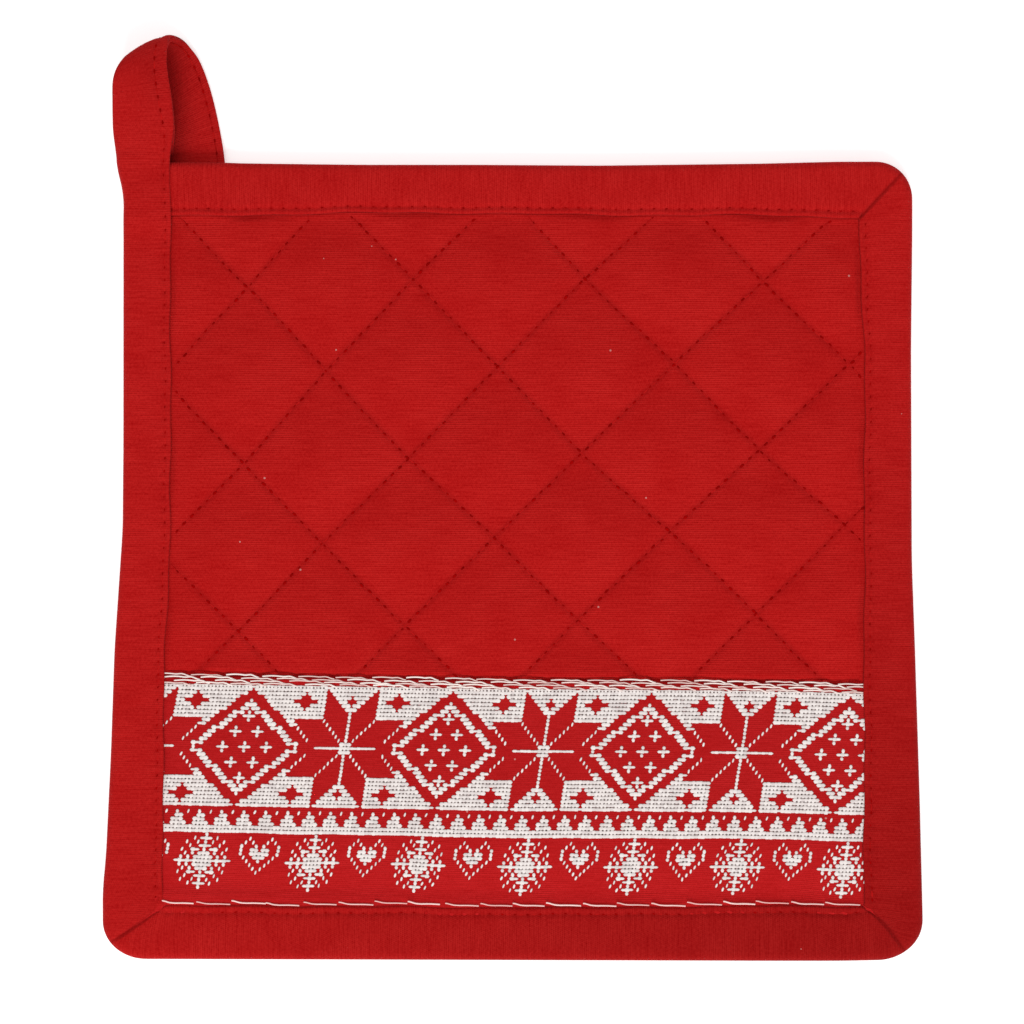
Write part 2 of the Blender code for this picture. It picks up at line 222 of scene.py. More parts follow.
def run_tree(obj: bpy.types.Object, tree: bpy.types.NodeTree, values: dict) -> bpy.types.Object:
    """Runs a Geometry Nodes tree on an object and keeps the result as a plain mesh.

    Args:
        obj: the object, whose mesh is replaced.
        tree: the tree.
        values: a value for each of the tree's named inputs.

    Returns:
        The same object.
    """
    modifier = obj.modifiers.new(tree.name, "NODES")
    modifier.node_group = tree
    inputs = [s for s in tree.interface.items_tree if s.item_type == "SOCKET" and s.in_out == "INPUT"]
    identifiers = {socket.name: socket.identifier for socket in inputs}
    for name, value in values.items():
        modifier[identifiers[name]] = value
    graph = bpy.context.evaluated_depsgraph_get()
    made = bpy.data.meshes.new_from_object(obj.evaluated_get(graph), preserve_all_data_layers=True,
                                           depsgraph=graph)
    obj.modifiers.remove(modifier)
    obj.data = made
    return obj


def new_tree(name: str, inputs: dict[str, str]) -> tuple[bpy.types.NodeTree, bpy.types.Node]:
    """Starts a Geometry Nodes tree.

    Args:
        name: the tree's name.
        inputs: the kind of socket for each named input, after the geometry.

    Returns:
        The tree, and its group input node.
    """
    tree = bpy.data.node_groups.new(name, "GeometryNodeTree")
    tree.interface.new_socket("Geometry", in_out="OUTPUT", socket_type="NodeSocketGeometry")
    tree.interface.new_socket("Geometry", in_out="INPUT", socket_type="NodeSocketGeometry")
    for socket, kind in inputs.items():
        tree.interface.new_socket(socket, in_out="INPUT", socket_type=kind)
    return tree, tree.nodes.new("NodeGroupInput")


def end_tree(tree: bpy.types.NodeTree, geometry: bpy.types.Node, material: bpy.types.NodeSocket) -> None:
    """Ends a tree: shades smooth, realises the instances and sets the material.

    Args:
        tree: the tree.
        geometry: the node that gives its geometry.
        material: the socket that gives its material.
    """
    add = partial(add_node, tree)
    real = add("GeometryNodeRealizeInstances", (geometry,))
    smooth = add("GeometryNodeSetShadeSmooth", (real,))
    dressed = add("GeometryNodeSetMaterial", {0: smooth, "Material": material})
    add("NodeGroupOutput", (dressed,))


# ---- Finishes ----


def bare_material(name: str) -> tuple[bpy.types.Material, bpy.types.NodeTree, bpy.types.Node]:
    """A new material, its tree, and its Principled BSDF."""
    material = bpy.data.materials.new(name)
    material.use_nodes = True
    return material, material.node_tree, material.node_tree.nodes["Principled BSDF"]


@dataclass(frozen=True)
class RibbedCotton:
    """Cotton poplin, piece-dyed and woven with a heavier weft than warp.

    The eye gets fine crosswise ribs that come and go in patches, a little slub from thread to thread, a dry
    surface, and painted shade: the hole colour at needle holes, sewn lines, edges and mitres, and a darker
    red where an attribute asks for it, which is partly painted shade.
    """

    name: str
    colour: str = "#C2201E"
    valley: str = "#9C0204"
    # hole: the colour of the painted shade at needle holes, sewn lines, inner edges and mitres
    hole: str = "#620102"
    lint: str = "#C88C86"
    rib: float = 0.55  # mm from one weft rib to the next
    warp: float = 0.45  # mm from one warp thread to the next
    warp_shown: float = 0.12  # how far the warp shows in the colour, as a share of the ribs
    warp_relief: float = 0.2  # the same in the relief
    slub_along: float = 7.0  # mm, the length of a thick place in a thread
    slub_drift: float = 2.2  # how far a thick place pushes a rib aside, in radians of its wave
    patch: float = 14.0  # mm, the size of a patch where the ribs stand out
    patch_edges: tuple[float, float] = (0.35, 0.65)  # the noise of the calmest patch and of the clearest
    ribs: tuple[float, float] = (0.2, 0.8)  # how far the ribs show in those two
    tufts: float = 1.7  # of fibre in a mm
    tuft_relief: float = 0.6  # how high they stand, as a share of relief
    mottle: float = 1.3
    slub: float = 1.3
    least: float = 0.3  # the sum of the above, without half the slub, that still has the valley's colour
    spread: float = 1.4  # from there to the full colour
    relief: float = 0.12  # mm, the height of a rib
    bump: float = 0.8
    deepest: float = 0.24  # how much light the darkest place of the darkening attribute takes away, part of which is painted shade
    pull: float = 0.8  # how far the painted shade of the needle attribute, at holes, sewn lines, edges and mitres, takes on the hole colour
    lint_pitch: float = 3.0  # mm between the places where a fleck of lint may lie
    lint_share: float = 0.02
    lint_cover: float = 0.7
    fleck: float = 0.09  # the radius of a fleck of lint, as a share of lint_pitch
    roughness: float = 0.95
    gloss: float = 0.07
    sheen: float = 0.02
    sheen_spread: float = 0.5

    def material(self) -> bpy.types.Material:
        """Builds the material."""
        material, tree, shader = bare_material(self.name)
        add = partial(add_node, tree)
        weave = add("ShaderNodeUVMap", uv_map=WEAVE)
        place = add("ShaderNodeSeparateXYZ", (weave,))
        across, along = place.outputs[0], place.outputs[1]

        # The weft's ribs, whose thick places push them aside.
        sizes = (1 / self.slub_along, 1 / self.rib, 0.0)
        thread = add("ShaderNodeVectorMath", (weave, sizes), operation="MULTIPLY")
        slub = add("ShaderNodeTexNoise", {"Vector": thread, "Scale": 1.0, "Detail": 3.0})
        drift = add(MATH, (slub, self.slub_drift), operation="MULTIPLY")
        turns = add(MATH, (along, math.tau / self.rib, drift), operation="MULTIPLY_ADD")
        wave = add(MATH, (turns,), operation="SINE")
        rib = add(MATH, (wave, 0.5, 0.5), operation="MULTIPLY_ADD")

        # The warp, which passes over every second rib.
        row = add(MATH, (along, self.rib), operation="DIVIDE")
        row_number = add(MATH, (row,), operation="FLOOR")
        stagger = add(MATH, (row_number, math.pi), operation="MULTIPLY")
        pass_over = add(MATH, (across, math.tau / self.warp, stagger), operation="MULTIPLY_ADD")
        crossing = add(MATH, (pass_over,), operation="SINE")

        # How far both show, and the dye over them.
        patches = add("ShaderNodeTexNoise", {"Vector": weave, "Scale": 1 / self.patch, "Detail": 4.0})
        contrast = add("ShaderNodeMapRange", (patches, *self.patch_edges, *self.ribs))
        shown = add(MATH, (rib, contrast), operation="MULTIPLY")
        crossed = add(MATH, (crossing, self.warp_shown, shown), operation="MULTIPLY_ADD")
        fibre = add("ShaderNodeTexNoise", {"Vector": weave, "Scale": self.tufts, "Detail": 3.0})
        mottled = add(MATH, (fibre, self.mottle, crossed), operation="MULTIPLY_ADD")
        uneven = add(MATH, (slub, self.slub, mottled), operation="MULTIPLY_ADD")
        least = self.least + self.slub / 2
        share = add("ShaderNodeMapRange", (uneven, least, least + self.spread, 0.0, 1.0))
        dyed = add(MIX, {0: share, 6: linear(self.valley), 7: linear(self.colour)}, data_type="RGBA")

        # The darker places that an attribute asks for, partly painted shade, and the painted shade at needle
        # holes, sewn lines, edges and mitres.
        depth = add("ShaderNodeAttribute", attribute_name="darkening_and_painted_shade")
        kept = add(MATH, (depth.outputs["Fac"], -self.deepest, 1.0), operation="MULTIPLY_ADD")
        deep = add("ShaderNodeVectorMath", {0: dyed.outputs[2], "Scale": kept}, operation="SCALE")
        needle = add("ShaderNodeAttribute", attribute_name="needle")
        pulled = add(MATH, (needle.outputs["Fac"], self.pull), operation="MULTIPLY", use_clamp=True)
        sewn = add(MIX, {0: pulled, 6: deep, 7: linear(self.hole)}, data_type="RGBA")

        # Flecks of lint, in a few cells of a scatter.
        scatter = add("ShaderNodeTexVoronoi", {"Vector": weave, "Scale": 1 / self.lint_pitch})
        luck = add("ShaderNodeSeparateXYZ", (scatter.outputs["Color"],))
        chosen = add(MATH, (luck, 1.0 - self.lint_share), operation="GREATER_THAN")
        fleck = add(MATH, (scatter.outputs["Distance"], self.fleck), operation="LESS_THAN")
        linted = add(MATH, (chosen, fleck), operation="MULTIPLY")
        cover = add(MATH, (linted, self.lint_cover), operation="MULTIPLY")
        colour = add(MIX, {0: cover, 6: sewn.outputs[2], 7: linear(self.lint)}, data_type="RGBA")

        ground = add(MATH, (fibre, self.tuft_relief, shown), operation="MULTIPLY_ADD")
        height = add(MATH, (crossing, self.warp_relief, ground), operation="MULTIPLY_ADD")
        bump = add("ShaderNodeBump", {"Height": height, "Distance": self.relief * MM, "Strength": self.bump})
        feed(shader, {"Base Color": colour.outputs[2], "Normal": bump, "Roughness": self.roughness,
                      "Specular IOR Level": self.gloss, "Sheen Weight": self.sheen,
                      "Sheen Roughness": self.sheen_spread})
        return material


@dataclass(frozen=True)
class SpunYarn:
    """Spun cotton yarn or sewing thread, dyed or bleached, with a two-ply twist.

    The eye gets a soft matt thread whose colour varies a little from one visible length to the next.
    """

    name: str
    colour: str
    shaded: str
    slub: float = 4.0  # mm, the size of a thick place
    # The sums of luck and slub that have the shaded colour and the full one.
    tones: tuple[float, float] = (0.2, 1.4)
    roughness: float = 0.85
    ply: float = 0.3  # mm, the length of a turn of the twist
    relief: float = 0.03  # mm
    bump: float = 0.6
    gloss: float = 0.15
    sheen_share: float = 0.1  # of the gloss

    def material(self) -> bpy.types.Material:
        """Builds the material."""
        material, tree, shader = bare_material(self.name)
        add = partial(add_node, tree)
        place = add("ShaderNodeTexCoord").outputs["Object"]
        shade = add("ShaderNodeAttribute", attribute_name="shade")
        slub = add("ShaderNodeTexNoise", {"Vector": place, "Scale": 1 / (self.slub * MM), "Detail": 2.0})
        mixed = add(MATH, (shade.outputs["Fac"], slub), operation="ADD")
        share = add("ShaderNodeMapRange", (mixed, *self.tones, 0.0, 1.0))
        colour = add(MIX, {0: share, 6: linear(self.shaded), 7: linear(self.colour)}, data_type="RGBA")
        twist = add("ShaderNodeTexWave", {"Vector": place, "Scale": 1 / (self.ply * MM) / math.tau},
                    bands_direction="DIAGONAL")
        bump = add("ShaderNodeBump", {"Height": twist.outputs["Fac"], "Distance": self.relief * MM,
                                      "Strength": self.bump})
        feed(shader, {"Base Color": colour.outputs[2], "Normal": bump, "Roughness": self.roughness,
                      "Specular IOR Level": self.gloss, "Sheen Weight": self.sheen_share * self.gloss})
        return material


# ---- The outline that every layer shares ----


@dataclass(frozen=True)
class Side:
    """How far one side strays from the true square, in mm: its outline, and the inner edge of its binding."""

    along: tuple[float, ...]
    outline: tuple[float, ...]
    inner_edge: tuple[float, ...]


@dataclass(frozen=True)
class Outline:
    """The sewn holder's outline, and the way from the true square to it."""

    half: float = 100.0
    binding_width: float = 12.6
    inner_radius: float = 1.0
    fade: float = 30.0  # inside the binding, over which the strays die away
    ease: float = 3.0
    wander: float = 0.14  # how far a sewn edge wanders from side to side
    wander_lengths: tuple[float, float] = (7.3, 3.1)  # mm in a radian of its two waves
    band_places: tuple[float, ...] = (-100.0, -60.0, -35.0, 0.0, 35.0, 65.0, 100.0)
    band_tops: tuple[float, ...] = (-28.45, -29.2, -29.6, -30.2, -30.3, -30.65, -31.6)
    band_slope: float = -0.015  # of the band's weft, on the whole
    right_top: float = 8.5  # corner radii
    right_bottom: float = 9.7
    left_bottom: float = 9.0
    left: Side = Side(
        along=(-100, -83, -75, -48, -22, 8, 30, 84, 92.5, 99, 100),
        outline=(-3.9, -3.9, -3.1, -1.8, -0.9, 1.15, 1.32, 1.35, 1.6, -0.35, -0.5),
        inner_edge=(-1.1, -1.1, -1.1, -1.1, -0.6, 0.8, 0.8, 0.8, 0.8, 0.9, 0.9),
    )
    right: Side = Side(
        along=(-100, -60, -22, 0, 53, 83, 100),
        outline=(3.0, 2.0, 0.8, 0.0, -0.2, 0.12, 0.12),
        inner_edge=(0.3, 0.4, 0.4, 0.5, 0.5, -0.9, -0.9),
    )
    top: Side = Side(
        along=(-100, -79, -39, -9, 21, 62, 82, 100),
        outline=(0.3, 0.3, -0.2, -0.2, -0.4, 0.1, 0.6, 0.6),
        inner_edge=(-0.7, -0.7, 0.2, 0.1, -0.4, -0.4, -1.0, -1.0),
    )
    bottom: Side = Side(
        along=(-100, -40, 15, 45, 62, 82, 100),
        outline=(-0.3, -0.48, -0.65, -0.74, -0.8, -0.8, -0.4),
        inner_edge=(0.7, 0.5, 0.1, 0.5, 0.7, 0.6, 0.3),
    )

    def stray(self, side: Side, along: Array, inset: Array) -> Array:
        """How far points stray because of one side.

        Args:
            side: the side.
            along: their places along it.
            inset: how far inside it they lie.

        Returns:
            The shift of each, square to the side.
        """
        outline = eased_table(along, side.along, side.outline, self.ease)
        inner = eased_table(along, side.along, side.inner_edge, self.ease)
        slow, quick = self.wander_lengths
        waves = np.sin(along / slow + side.outline[1]) + np.sin(along / quick + side.along[1])
        inner = inner + self.wander * waves
        within = inner * np.maximum(0.0, 1.0 - (inset - self.binding_width) / self.fade)
        return np.where(inset < self.binding_width, outline + (inner - outline) * inset / self.binding_width,
                        within)

    def rounded(self, x: Array, y: Array) -> tuple[Array, Array]:
        """Carries points of the true square onto the square with rounded corners."""
        wide, tall = np.abs(x), np.abs(y)
        reach, along = np.maximum(wide, tall), np.minimum(wide, tall)
        lower = np.where(x >= 0, self.right_bottom, self.left_bottom)
        corner = np.where(y >= 0, np.where(x >= 0, self.right_top, 0.0), lower)
        share = (self.half - reach) / self.binding_width
        outer = corner + (self.inner_radius - corner) * share
        radius = np.where(share < 1.0, outer, self.inner_radius * np.maximum(0.0, 2.0 - share)) * (corner > 0)
        past = along - (reach - radius)
        angle = math.radians(45.0) * past / np.where(radius > 0, radius, 1.0)
        near = reach - radius + radius * np.sin(angle)
        far = reach - radius + radius * np.cos(angle)
        turning = (radius > 0) & (past > 0)
        across = np.where(turning, np.where(wide >= tall, far, near), wide)
        up = np.where(turning, np.where(wide >= tall, near, far), tall)
        return np.copysign(across, x), np.copysign(up, y)

    def place(self, x: Array, y: Array) -> tuple[Array, Array]:
        """Carries points of the true square onto the sewn holder."""
        x, y = self.rounded(np.asarray(x, float), np.asarray(y, float))
        shift_x = self.stray(self.left, y, self.half + x) + self.stray(self.right, y, self.half - x)
        shift_y = self.stray(self.bottom, x, self.half + y) + self.stray(self.top, x, self.half - y)
        return x + shift_x, y + shift_y

    def band_top(self, x: Array) -> Array:
        """The y of the band's upper edge."""
        return eased_table(x, self.band_places, self.band_tops, 10.0)

    def inset(self, x: Array, y: Array) -> Array:
        """How far inside its nearest side each point lies."""
        return self.half - np.maximum(np.abs(x), np.abs(y))


# What the top run of the binding passes over near the loop, and what the left run climbs over in the corner.
PRESS_TOP_ALONG = (-100.0, -88.6, -87.1, -73.0, -68.6, 100.0)
PRESS_TOP_LIFT = (1.3, 1.3, 1.9, 1.9, 0.0, 0.0)
PRESS_TOP_RISE = (0.0, 0.0, 0.4, 0.4, 0.0, 0.0)
PRESS_LEFT_ALONG = (-100.0, 82.0, 87.0, 100.0)
PRESS_LEFT_RISE = (0.0, 0.0, 1.3, 1.3)


# ---- Threads laid on cloth ----


class ThreadForm(Enum):
    """The ways in which a length of thread shows on the cloth."""

    STITCH = "stitch"  # a rounded length between two needle holes
    # A knot's shape also makes the dark discs that are painted shade at needle holes and in the band's gaps.
    KNOT = "knot"  # a flat pointed length of weft between two warp threads
    FLOAT = "float"  # a long loose length that arches and ends in a hook


@dataclass
class Threads:
    """Lengths of thread, each given by its middle, its run (way and length), its breadth and its outside."""

    middles: list = field(default_factory=list)
    runs: list = field(default_factory=list)
    breadths: list = field(default_factory=list)
    outsides: list = field(default_factory=list)
    breadth_luck: tuple[float, float] = (0.86, 1.14)  # how the breadths vary
    knot_ends: tuple[float, float] = (0.38, 0.5)  # the radii of a knot's narrow end and of its broad one
    float_points: int = 17
    float_arches: float = 1.7  # how many arches a float has
    hook_from: float = 0.72  # the share of a float's length at which its hook starts

    def add(self, middles: Array, runs: Array, breadths: Array | float, outsides: Array) -> None:
        """Adds lengths of thread, in mm."""
        count = len(middles)
        self.middles.append(np.asarray(middles, float))
        self.runs.append(np.asarray(runs, float))
        self.breadths.append(np.broadcast_to(breadths, (count,)))
        self.outsides.append(np.broadcast_to(outsides, (count, 3)))

    def form_node(self, tree: bpy.types.NodeTree, form: ThreadForm, given: bpy.types.Node) -> bpy.types.Node:
        """Adds the nodes of one length of thread, 1 long along X, 1 broad and 1 high.

        Args:
            tree: the tree.
            form: the thread's form.
            given: the tree's group input.

        Returns:
            The node that gives the mesh.
        """
        add = partial(add_node, tree)
        if form is ThreadForm.STITCH:
            return add("GeometryNodeMeshUVSphere", {"Segments": 8, "Rings": 4, "Radius": 0.5})
        if form is ThreadForm.KNOT:
            narrow, broad = self.knot_ends
            return add("GeometryNodeMeshCone",
                       {"Vertices": 6, "Radius Top": narrow, "Radius Bottom": broad, "Depth": 0.5})
        ratio = given.outputs["Ratio"]
        half = add(MATH, (ratio, 0.5), operation="MULTIPLY")
        back = add(MATH, (ratio, -0.5), operation="MULTIPLY")
        start = add("ShaderNodeCombineXYZ", (back,))
        end = add("ShaderNodeCombineXYZ", (half,))
        line = add("GeometryNodeCurvePrimitiveLine", {"Start": start, "End": end})
        spaced = add("GeometryNodeResampleCurve", {"Curve": line, "Count": self.float_points})
        share = add("GeometryNodeSplineParameter").outputs["Factor"]
        turn = add(MATH, (share, math.pi * self.float_arches), operation="MULTIPLY")
        swing = add(MATH, (turn,), operation="SINE")
        arches = add(MATH, (swing,), operation="ABSOLUTE")
        aside = add(MATH, (arches, given.outputs["Arch"]), operation="MULTIPLY")
        late = add("ShaderNodeMapRange", (share, self.hook_from, 1.0, 0.0, 1.0),
                   interpolation_type="SMOOTHSTEP")
        hook = add(MATH, (late.outputs[0], given.outputs["Hook"], aside), operation="MULTIPLY_ADD")
        over = add(MATH, (share, math.pi), operation="MULTIPLY")
        rise = add(MATH, (over,), operation="SINE")
        bow = add(MATH, (rise, given.outputs["Bow"]), operation="MULTIPLY")
        offset = add("ShaderNodeCombineXYZ", {1: hook, 2: bow})
        shaped = add("GeometryNodeSetPosition", {0: spaced, "Offset": offset})
        round_section = add("GeometryNodeCurvePrimitiveCircle", {"Resolution": 6, "Radius": 0.5})
        return add("GeometryNodeCurveToMesh",
                   {"Curve": shaped, "Profile Curve": round_section, "Fill Caps": True})

    def build(self, name: str, form: ThreadForm, material: bpy.types.Material, seed: int, height: float,
              share: float = 1.0, arch: float = 0.0, hook: float = 0.0, bow: float = 0.0,
              ratio: float = 1.0) -> bpy.types.Object:
        """Makes one piece of all the lengths.

        Args:
            name: the piece's name.
            form: the form of each length.
            material: its finish.
            seed: for what varies from one length to the next.
            height: how high each stands, as a share of its breadth.
            share: how much of its run each length covers.
            arch: for a float, how far its two arches swing sideways, in breadths.
            hook: how far its end hooks, in breadths.
            bow: how far it stands off the cloth, in breadths.
            ratio: a float's length, in breadths.

        Returns:
            The piece.
        """
        sizes = {"Height": height, "Share": share, "Arch": arch, "Hook": hook, "Bow": bow, "Ratio": ratio}
        others = {"Seed": "NodeSocketInt", "Thread": "NodeSocketMaterial"}
        tree, given = new_tree(f"{name} laid by nodes", dict.fromkeys(sizes, NUMBER) | others)
        add = partial(add_node, tree)
        least, most = self.breadth_luck
        run = add(NAMED, {"Name": "run"}, data_type="FLOAT_VECTOR")
        out = add(NAMED, {"Name": "out"}, data_type="FLOAT_VECTOR")
        breadth = add(NAMED, {"Name": "breadth"}, data_type="FLOAT")
        aimed = add("FunctionNodeAlignRotationToVector", {"Vector": run}, axis="X")
        stood = add("FunctionNodeAlignRotationToVector", {"Rotation": aimed, "Vector": out}, axis="Z",
                    pivot_axis="X")
        full = add("ShaderNodeVectorMath", (run,), operation="LENGTH")
        long = add(MATH, (full.outputs["Value"], given.outputs["Share"]), operation="MULTIPLY")
        luck = add("FunctionNodeRandomValue", {"Min": least, "Max": most, "Seed": given.outputs["Seed"]})
        broad = add(MATH, (breadth, luck.outputs[1]), operation="MULTIPLY")
        high = add(MATH, (breadth, given.outputs["Height"]), operation="MULTIPLY")
        scale = add("ShaderNodeCombineXYZ", (long, broad, high))
        if form is ThreadForm.FLOAT:
            unit = add(MATH, (long, given.outputs["Ratio"]), operation="DIVIDE")
            scale = add("ShaderNodeCombineXYZ", (unit, broad, broad))
        one = self.form_node(tree, form, given)
        laid = add("GeometryNodeInstanceOnPoints",
                   {"Points": given, "Instance": one, "Rotation": stood, "Scale": scale})
        tone = add("FunctionNodeRandomValue", {"Min": 0.0, "Max": 1.0, "Seed": given.outputs["Seed"]})
        toned = add("GeometryNodeStoreNamedAttribute", {0: laid, "Name": "shade", "Value": tone.outputs[1]},
                    data_type="FLOAT", domain="INSTANCE")
        end_tree(tree, toned, given.outputs["Thread"])

        points = np.concatenate(self.middles)
        obj = new_object(name, points, [])
        store(obj.data, "run", np.concatenate(self.runs) * MM)
        store(obj.data, "out", np.concatenate(self.outsides))
        store(obj.data, "breadth", np.concatenate(self.breadths) * MM)
        return run_tree(obj, tree, sizes | {"Seed": seed, "Thread": material})


@dataclass(frozen=True)
class Seam:
    """A row of stitches and the dark discs painted as the shade of the holes that they sink into, in mm."""

    pitch: float
    thread: float  # its breadth
    lift: float  # how far a stitch's middle stands off the line between its needle holes
    hole: tuple[float, float]  # the length and breadth of a dark disc painted as a hole's shade
    hole_lift: float
    hole_luck: tuple[float, float]  # how the holes' sizes vary
    longest: float  # the longest stitch, in pitches; over a longer way there is none

    def sew(self, spots: Array, outs: Array, random: np.random.Generator, stitches: Threads,
            sinks: Threads) -> None:
        """Sews along a row of needle holes.

        Args:
            spots: the needle holes, one row each.
            outs: the way out of the cloth halfway to each of them from the one before.
            random: where the holes' sizes are drawn from.
            stitches: where the stitches go.
            sinks: where the dark discs painted as the holes' shade go.
        """
        runs = np.diff(spots, axis=0)
        lengths = np.linalg.norm(runs, axis=1, keepdims=True)
        near = lengths[:, 0] < self.longest * self.pitch
        middles = (spots[1:] + spots[:-1]) / 2 + outs * self.lift
        stitches.add(middles[near], runs[near], self.thread, outs[near])
        sizes = random.uniform(*self.hole_luck, (len(runs), 1))
        length, breadth = self.hole
        lifted = spots[1:] + outs * self.hole_lift
        sinks.add(lifted, runs / lengths * length * sizes, breadth * sizes[:, 0], outs)


def along_path(path: Array, pitch: float, start: float = 0.0) -> Array:
    """Points at an even pitch along a path.

    Args:
        path: the path's points, one row each.
        pitch: the distance between two of them.
        start: the distance of the first from the path's start.

    Returns:
        The points.
    """
    lengths = path_lengths(path)
    places = np.arange(start, lengths[-1], pitch)
    return np.stack([np.interp(places, lengths, path[:, k]) for k in range(path.shape[1])], axis=1)


# ---- The quilted pad ----


@dataclass
class QuiltedPad:
    """The filled pad: two layers of cotton over wadding, quilted in squares that stand on a corner."""

    outline: Outline
    cell: float = 0.55  # of its upper mesh
    under_stride: int = 2  # the underside takes every second line of that mesh
    columns: tuple[float, ...] = (-90.2, -68.6, -48.1, -26.9, -4.8, 16.6, 39.5, 61.6, 82.9, 104.5)
    rows: tuple[float, ...] = (-122.8, -101.2, -79.6, -58.0, -36.4, -14.8, 6.8, 26.9, 49.0, 70.6, 92.2)
    line_spacing: float = 15.3  # from one sewn line to the next
    grid_lean: float = 0.024  # how far the sewn grid leans to the right on its way up
    grid_tilt: float = 0.034  # how much its rows climb to the right, next to the band
    grid_arch: float = 3.0  # how far its rows arch, next to the top edge
    grid_sag: float = 0.7  # how far they hang, next to the band
    lean_about: float = 24.0  # the y at which the leaning grid isn't shifted
    arch_from: float = 10.0  # the y from which the rows arch
    arch_over: float = 80.0  # how far on they arch fully
    arch_middle: float = 0.3  # the share of the arch that the middle of a row gets
    arch_reach: float = 90.0  # how far out it has dropped by a whole arch
    tilt_until: float = 95.0  # the y up to which they climb
    tilt_over: float = 85.0  # how far below that they climb fully
    hem: tuple[float, ...] = (2.2, 3.8, 8.35, 12.4, 12.9)  # insets of the hidden hem's lines
    cloth: float = 1.0
    gap: float = 0.3
    binding_top: float = 5.1
    press_reach: float = 13.5  # how far in from the top edge the binding's press goes
    hem_slope: float = 1.2  # the breadth of the slope from the hem to the quilting
    hem_pinch: float = 0.6  # how far each face draws in at the hem's hidden edge
    hidden_rows: int = 12  # of the upper mesh, under the band
    channel: float = 3.5  # the height of a sewn channel
    crown: float = 2.0  # how far a square rises above it
    roundness: float = 0.95
    edge_puff: float = 0.45  # the share of the crown right beside the hem
    puff_fade: float = 9.0  # how far in from there it is whole
    bed: float = 2.5  # the height of the flat that the band lies on
    bed_slope: float = 1.5
    bed_past: float = 0.1  # how far above the band's edge that flat ends
    under_rise: float = 0.6  # how far a channel of the underside stands off the surface
    seam: Seam = Seam(pitch=2.72, thread=0.32, lift=-0.06, hole=(1.3, 0.68), hole_lift=0.02,
                      hole_luck=(0.6, 1.15), longest=1.6)
    sway: float = 0.16  # how far a sewn line sways from side to side
    jitter: float = 0.09  # how far a needle hole strays
    first_above: float = 0.8  # how far above the band's edge the lowest holes may lie
    hole_shade: float = 0.3  # painted shade: how much deeper the red is at a needle hole
    hole_reach: float = 0.5
    line_shade: float = 0.30  # the same beside a sewn line
    line_reach: float = 0.75
    hem_shade: float = 0.05  # the same beside the binding
    hem_shade_inset: float = 12.8
    hem_shade_reach: float = 0.4
    hole_pull: float = 0.2  # how far a needle pulls the cloth in
    unevenness: float = 0.7  # of the wadding
    lump: float = 16.0  # the size of a lump in it
    lump_seed: float = 3.0  # where the 4D noise is cut
    seed: int = 11

    def top_base(self, x: Array, y: Array) -> tuple[Array, Array]:
        """The upper surface without its puffs.

        Args:
            x: places on the true square.
            y: the same.

        Returns:
            The height, and the share of the full puff that each place has.
        """
        inset = self.outline.inset(x, y)
        rise = np.interp(x, PRESS_TOP_ALONG, PRESS_TOP_RISE) * (y > self.outline.half - self.press_reach)
        hem = self.binding_top + rise - self.cloth - self.gap
        above = y - self.outline.band_top(x)
        out_of_bed = smoothstep((above - self.bed_past) / self.bed_slope)
        out_of_hem = smoothstep((inset - self.hem[-1]) / self.hem_slope)
        field_height = self.bed + (self.channel - self.bed) * out_of_bed
        height = np.where(above < self.bed_past, self.bed, hem + (field_height - hem) * out_of_hem)
        grown = np.clip((inset - self.hem[-1]) / self.puff_fade, 0.0, 1.0)
        share = out_of_bed * out_of_hem * (self.edge_puff + (1.0 - self.edge_puff) * grown)
        return self.tapered(height, inset, 1), share

    def under_base(self, x: Array, y: Array) -> tuple[Array, Array]:
        """The underside without its puffs: its height, and the share of the full puff, which is negative."""
        inset = self.outline.inset(x, y)
        lift = np.interp(x, PRESS_TOP_ALONG, PRESS_TOP_LIFT) * (y > self.outline.half - self.press_reach)
        hem = lift + self.cloth + self.gap
        out_of_hem = smoothstep((inset - self.hem[-1]) / self.hem_slope)
        height = hem + (self.under_rise - hem) * out_of_hem
        return self.tapered(height, inset, -1), -self.under_rise / self.crown * out_of_hem

    def tapered(self, height: Array, inset: Array, side: int) -> Array:
        """Thins the hem towards its hidden edge, from above or from below."""
        pinch = self.hem_pinch * np.clip((self.hem[1] - inset) / (self.hem[1] - self.hem[0]), 0.0, 1.0)
        return height - side * pinch

    def lines(self) -> tuple[list[float], list[float]]:
        """The columns and rows of the upper mesh."""
        inner = self.outline.half - self.hem[-1]
        hem = [self.outline.half - inset for inset in self.hem]
        count = round(2 * inner / self.cell)
        fine = np.linspace(-inner, inner, count + 1)
        columns = [-h for h in hem[:-1]] + fine.tolist() + hem[:-1][::-1]
        lowest = min(self.outline.band_tops) - 1.0
        above = [y for y in fine if y > lowest]
        below = np.linspace(-inner, above[0], self.hidden_rows + 1)[:-1].tolist()
        rows = [-h for h in hem[:-1]] + below + above + hem[:-1][::-1]
        return columns, rows

    def thinned(self, lines: list[float], kept: int) -> list[int]:
        """The numbers of the lines that the underside shares with the upper mesh."""
        last = len(lines) - 1
        middle = range(kept, last - kept + 1, self.under_stride)
        return sorted({*range(kept), *middle, *range(last - kept, last + 1)})

    def shift(self, x: Array, y: Array) -> tuple[Array, Array]:
        """How far the sewn grid strays from the plain one.

        Args:
            x: places on the plain grid, in mm.
            y: the same.

        Returns:
            The shift to the right and upwards at each place.
        """
        high = np.clip((y - self.arch_from) / self.arch_over, 0.0, 1.0)
        low = np.clip((self.tilt_until - y) / self.tilt_over, 0.0, 1.0)
        arch = self.grid_arch * high * (self.arch_middle - (x / self.arch_reach) ** 2)
        upwards = self.grid_tilt * x * low + arch - self.grid_sag * (1.0 - high)
        return self.grid_lean * (y - self.lean_about), upwards

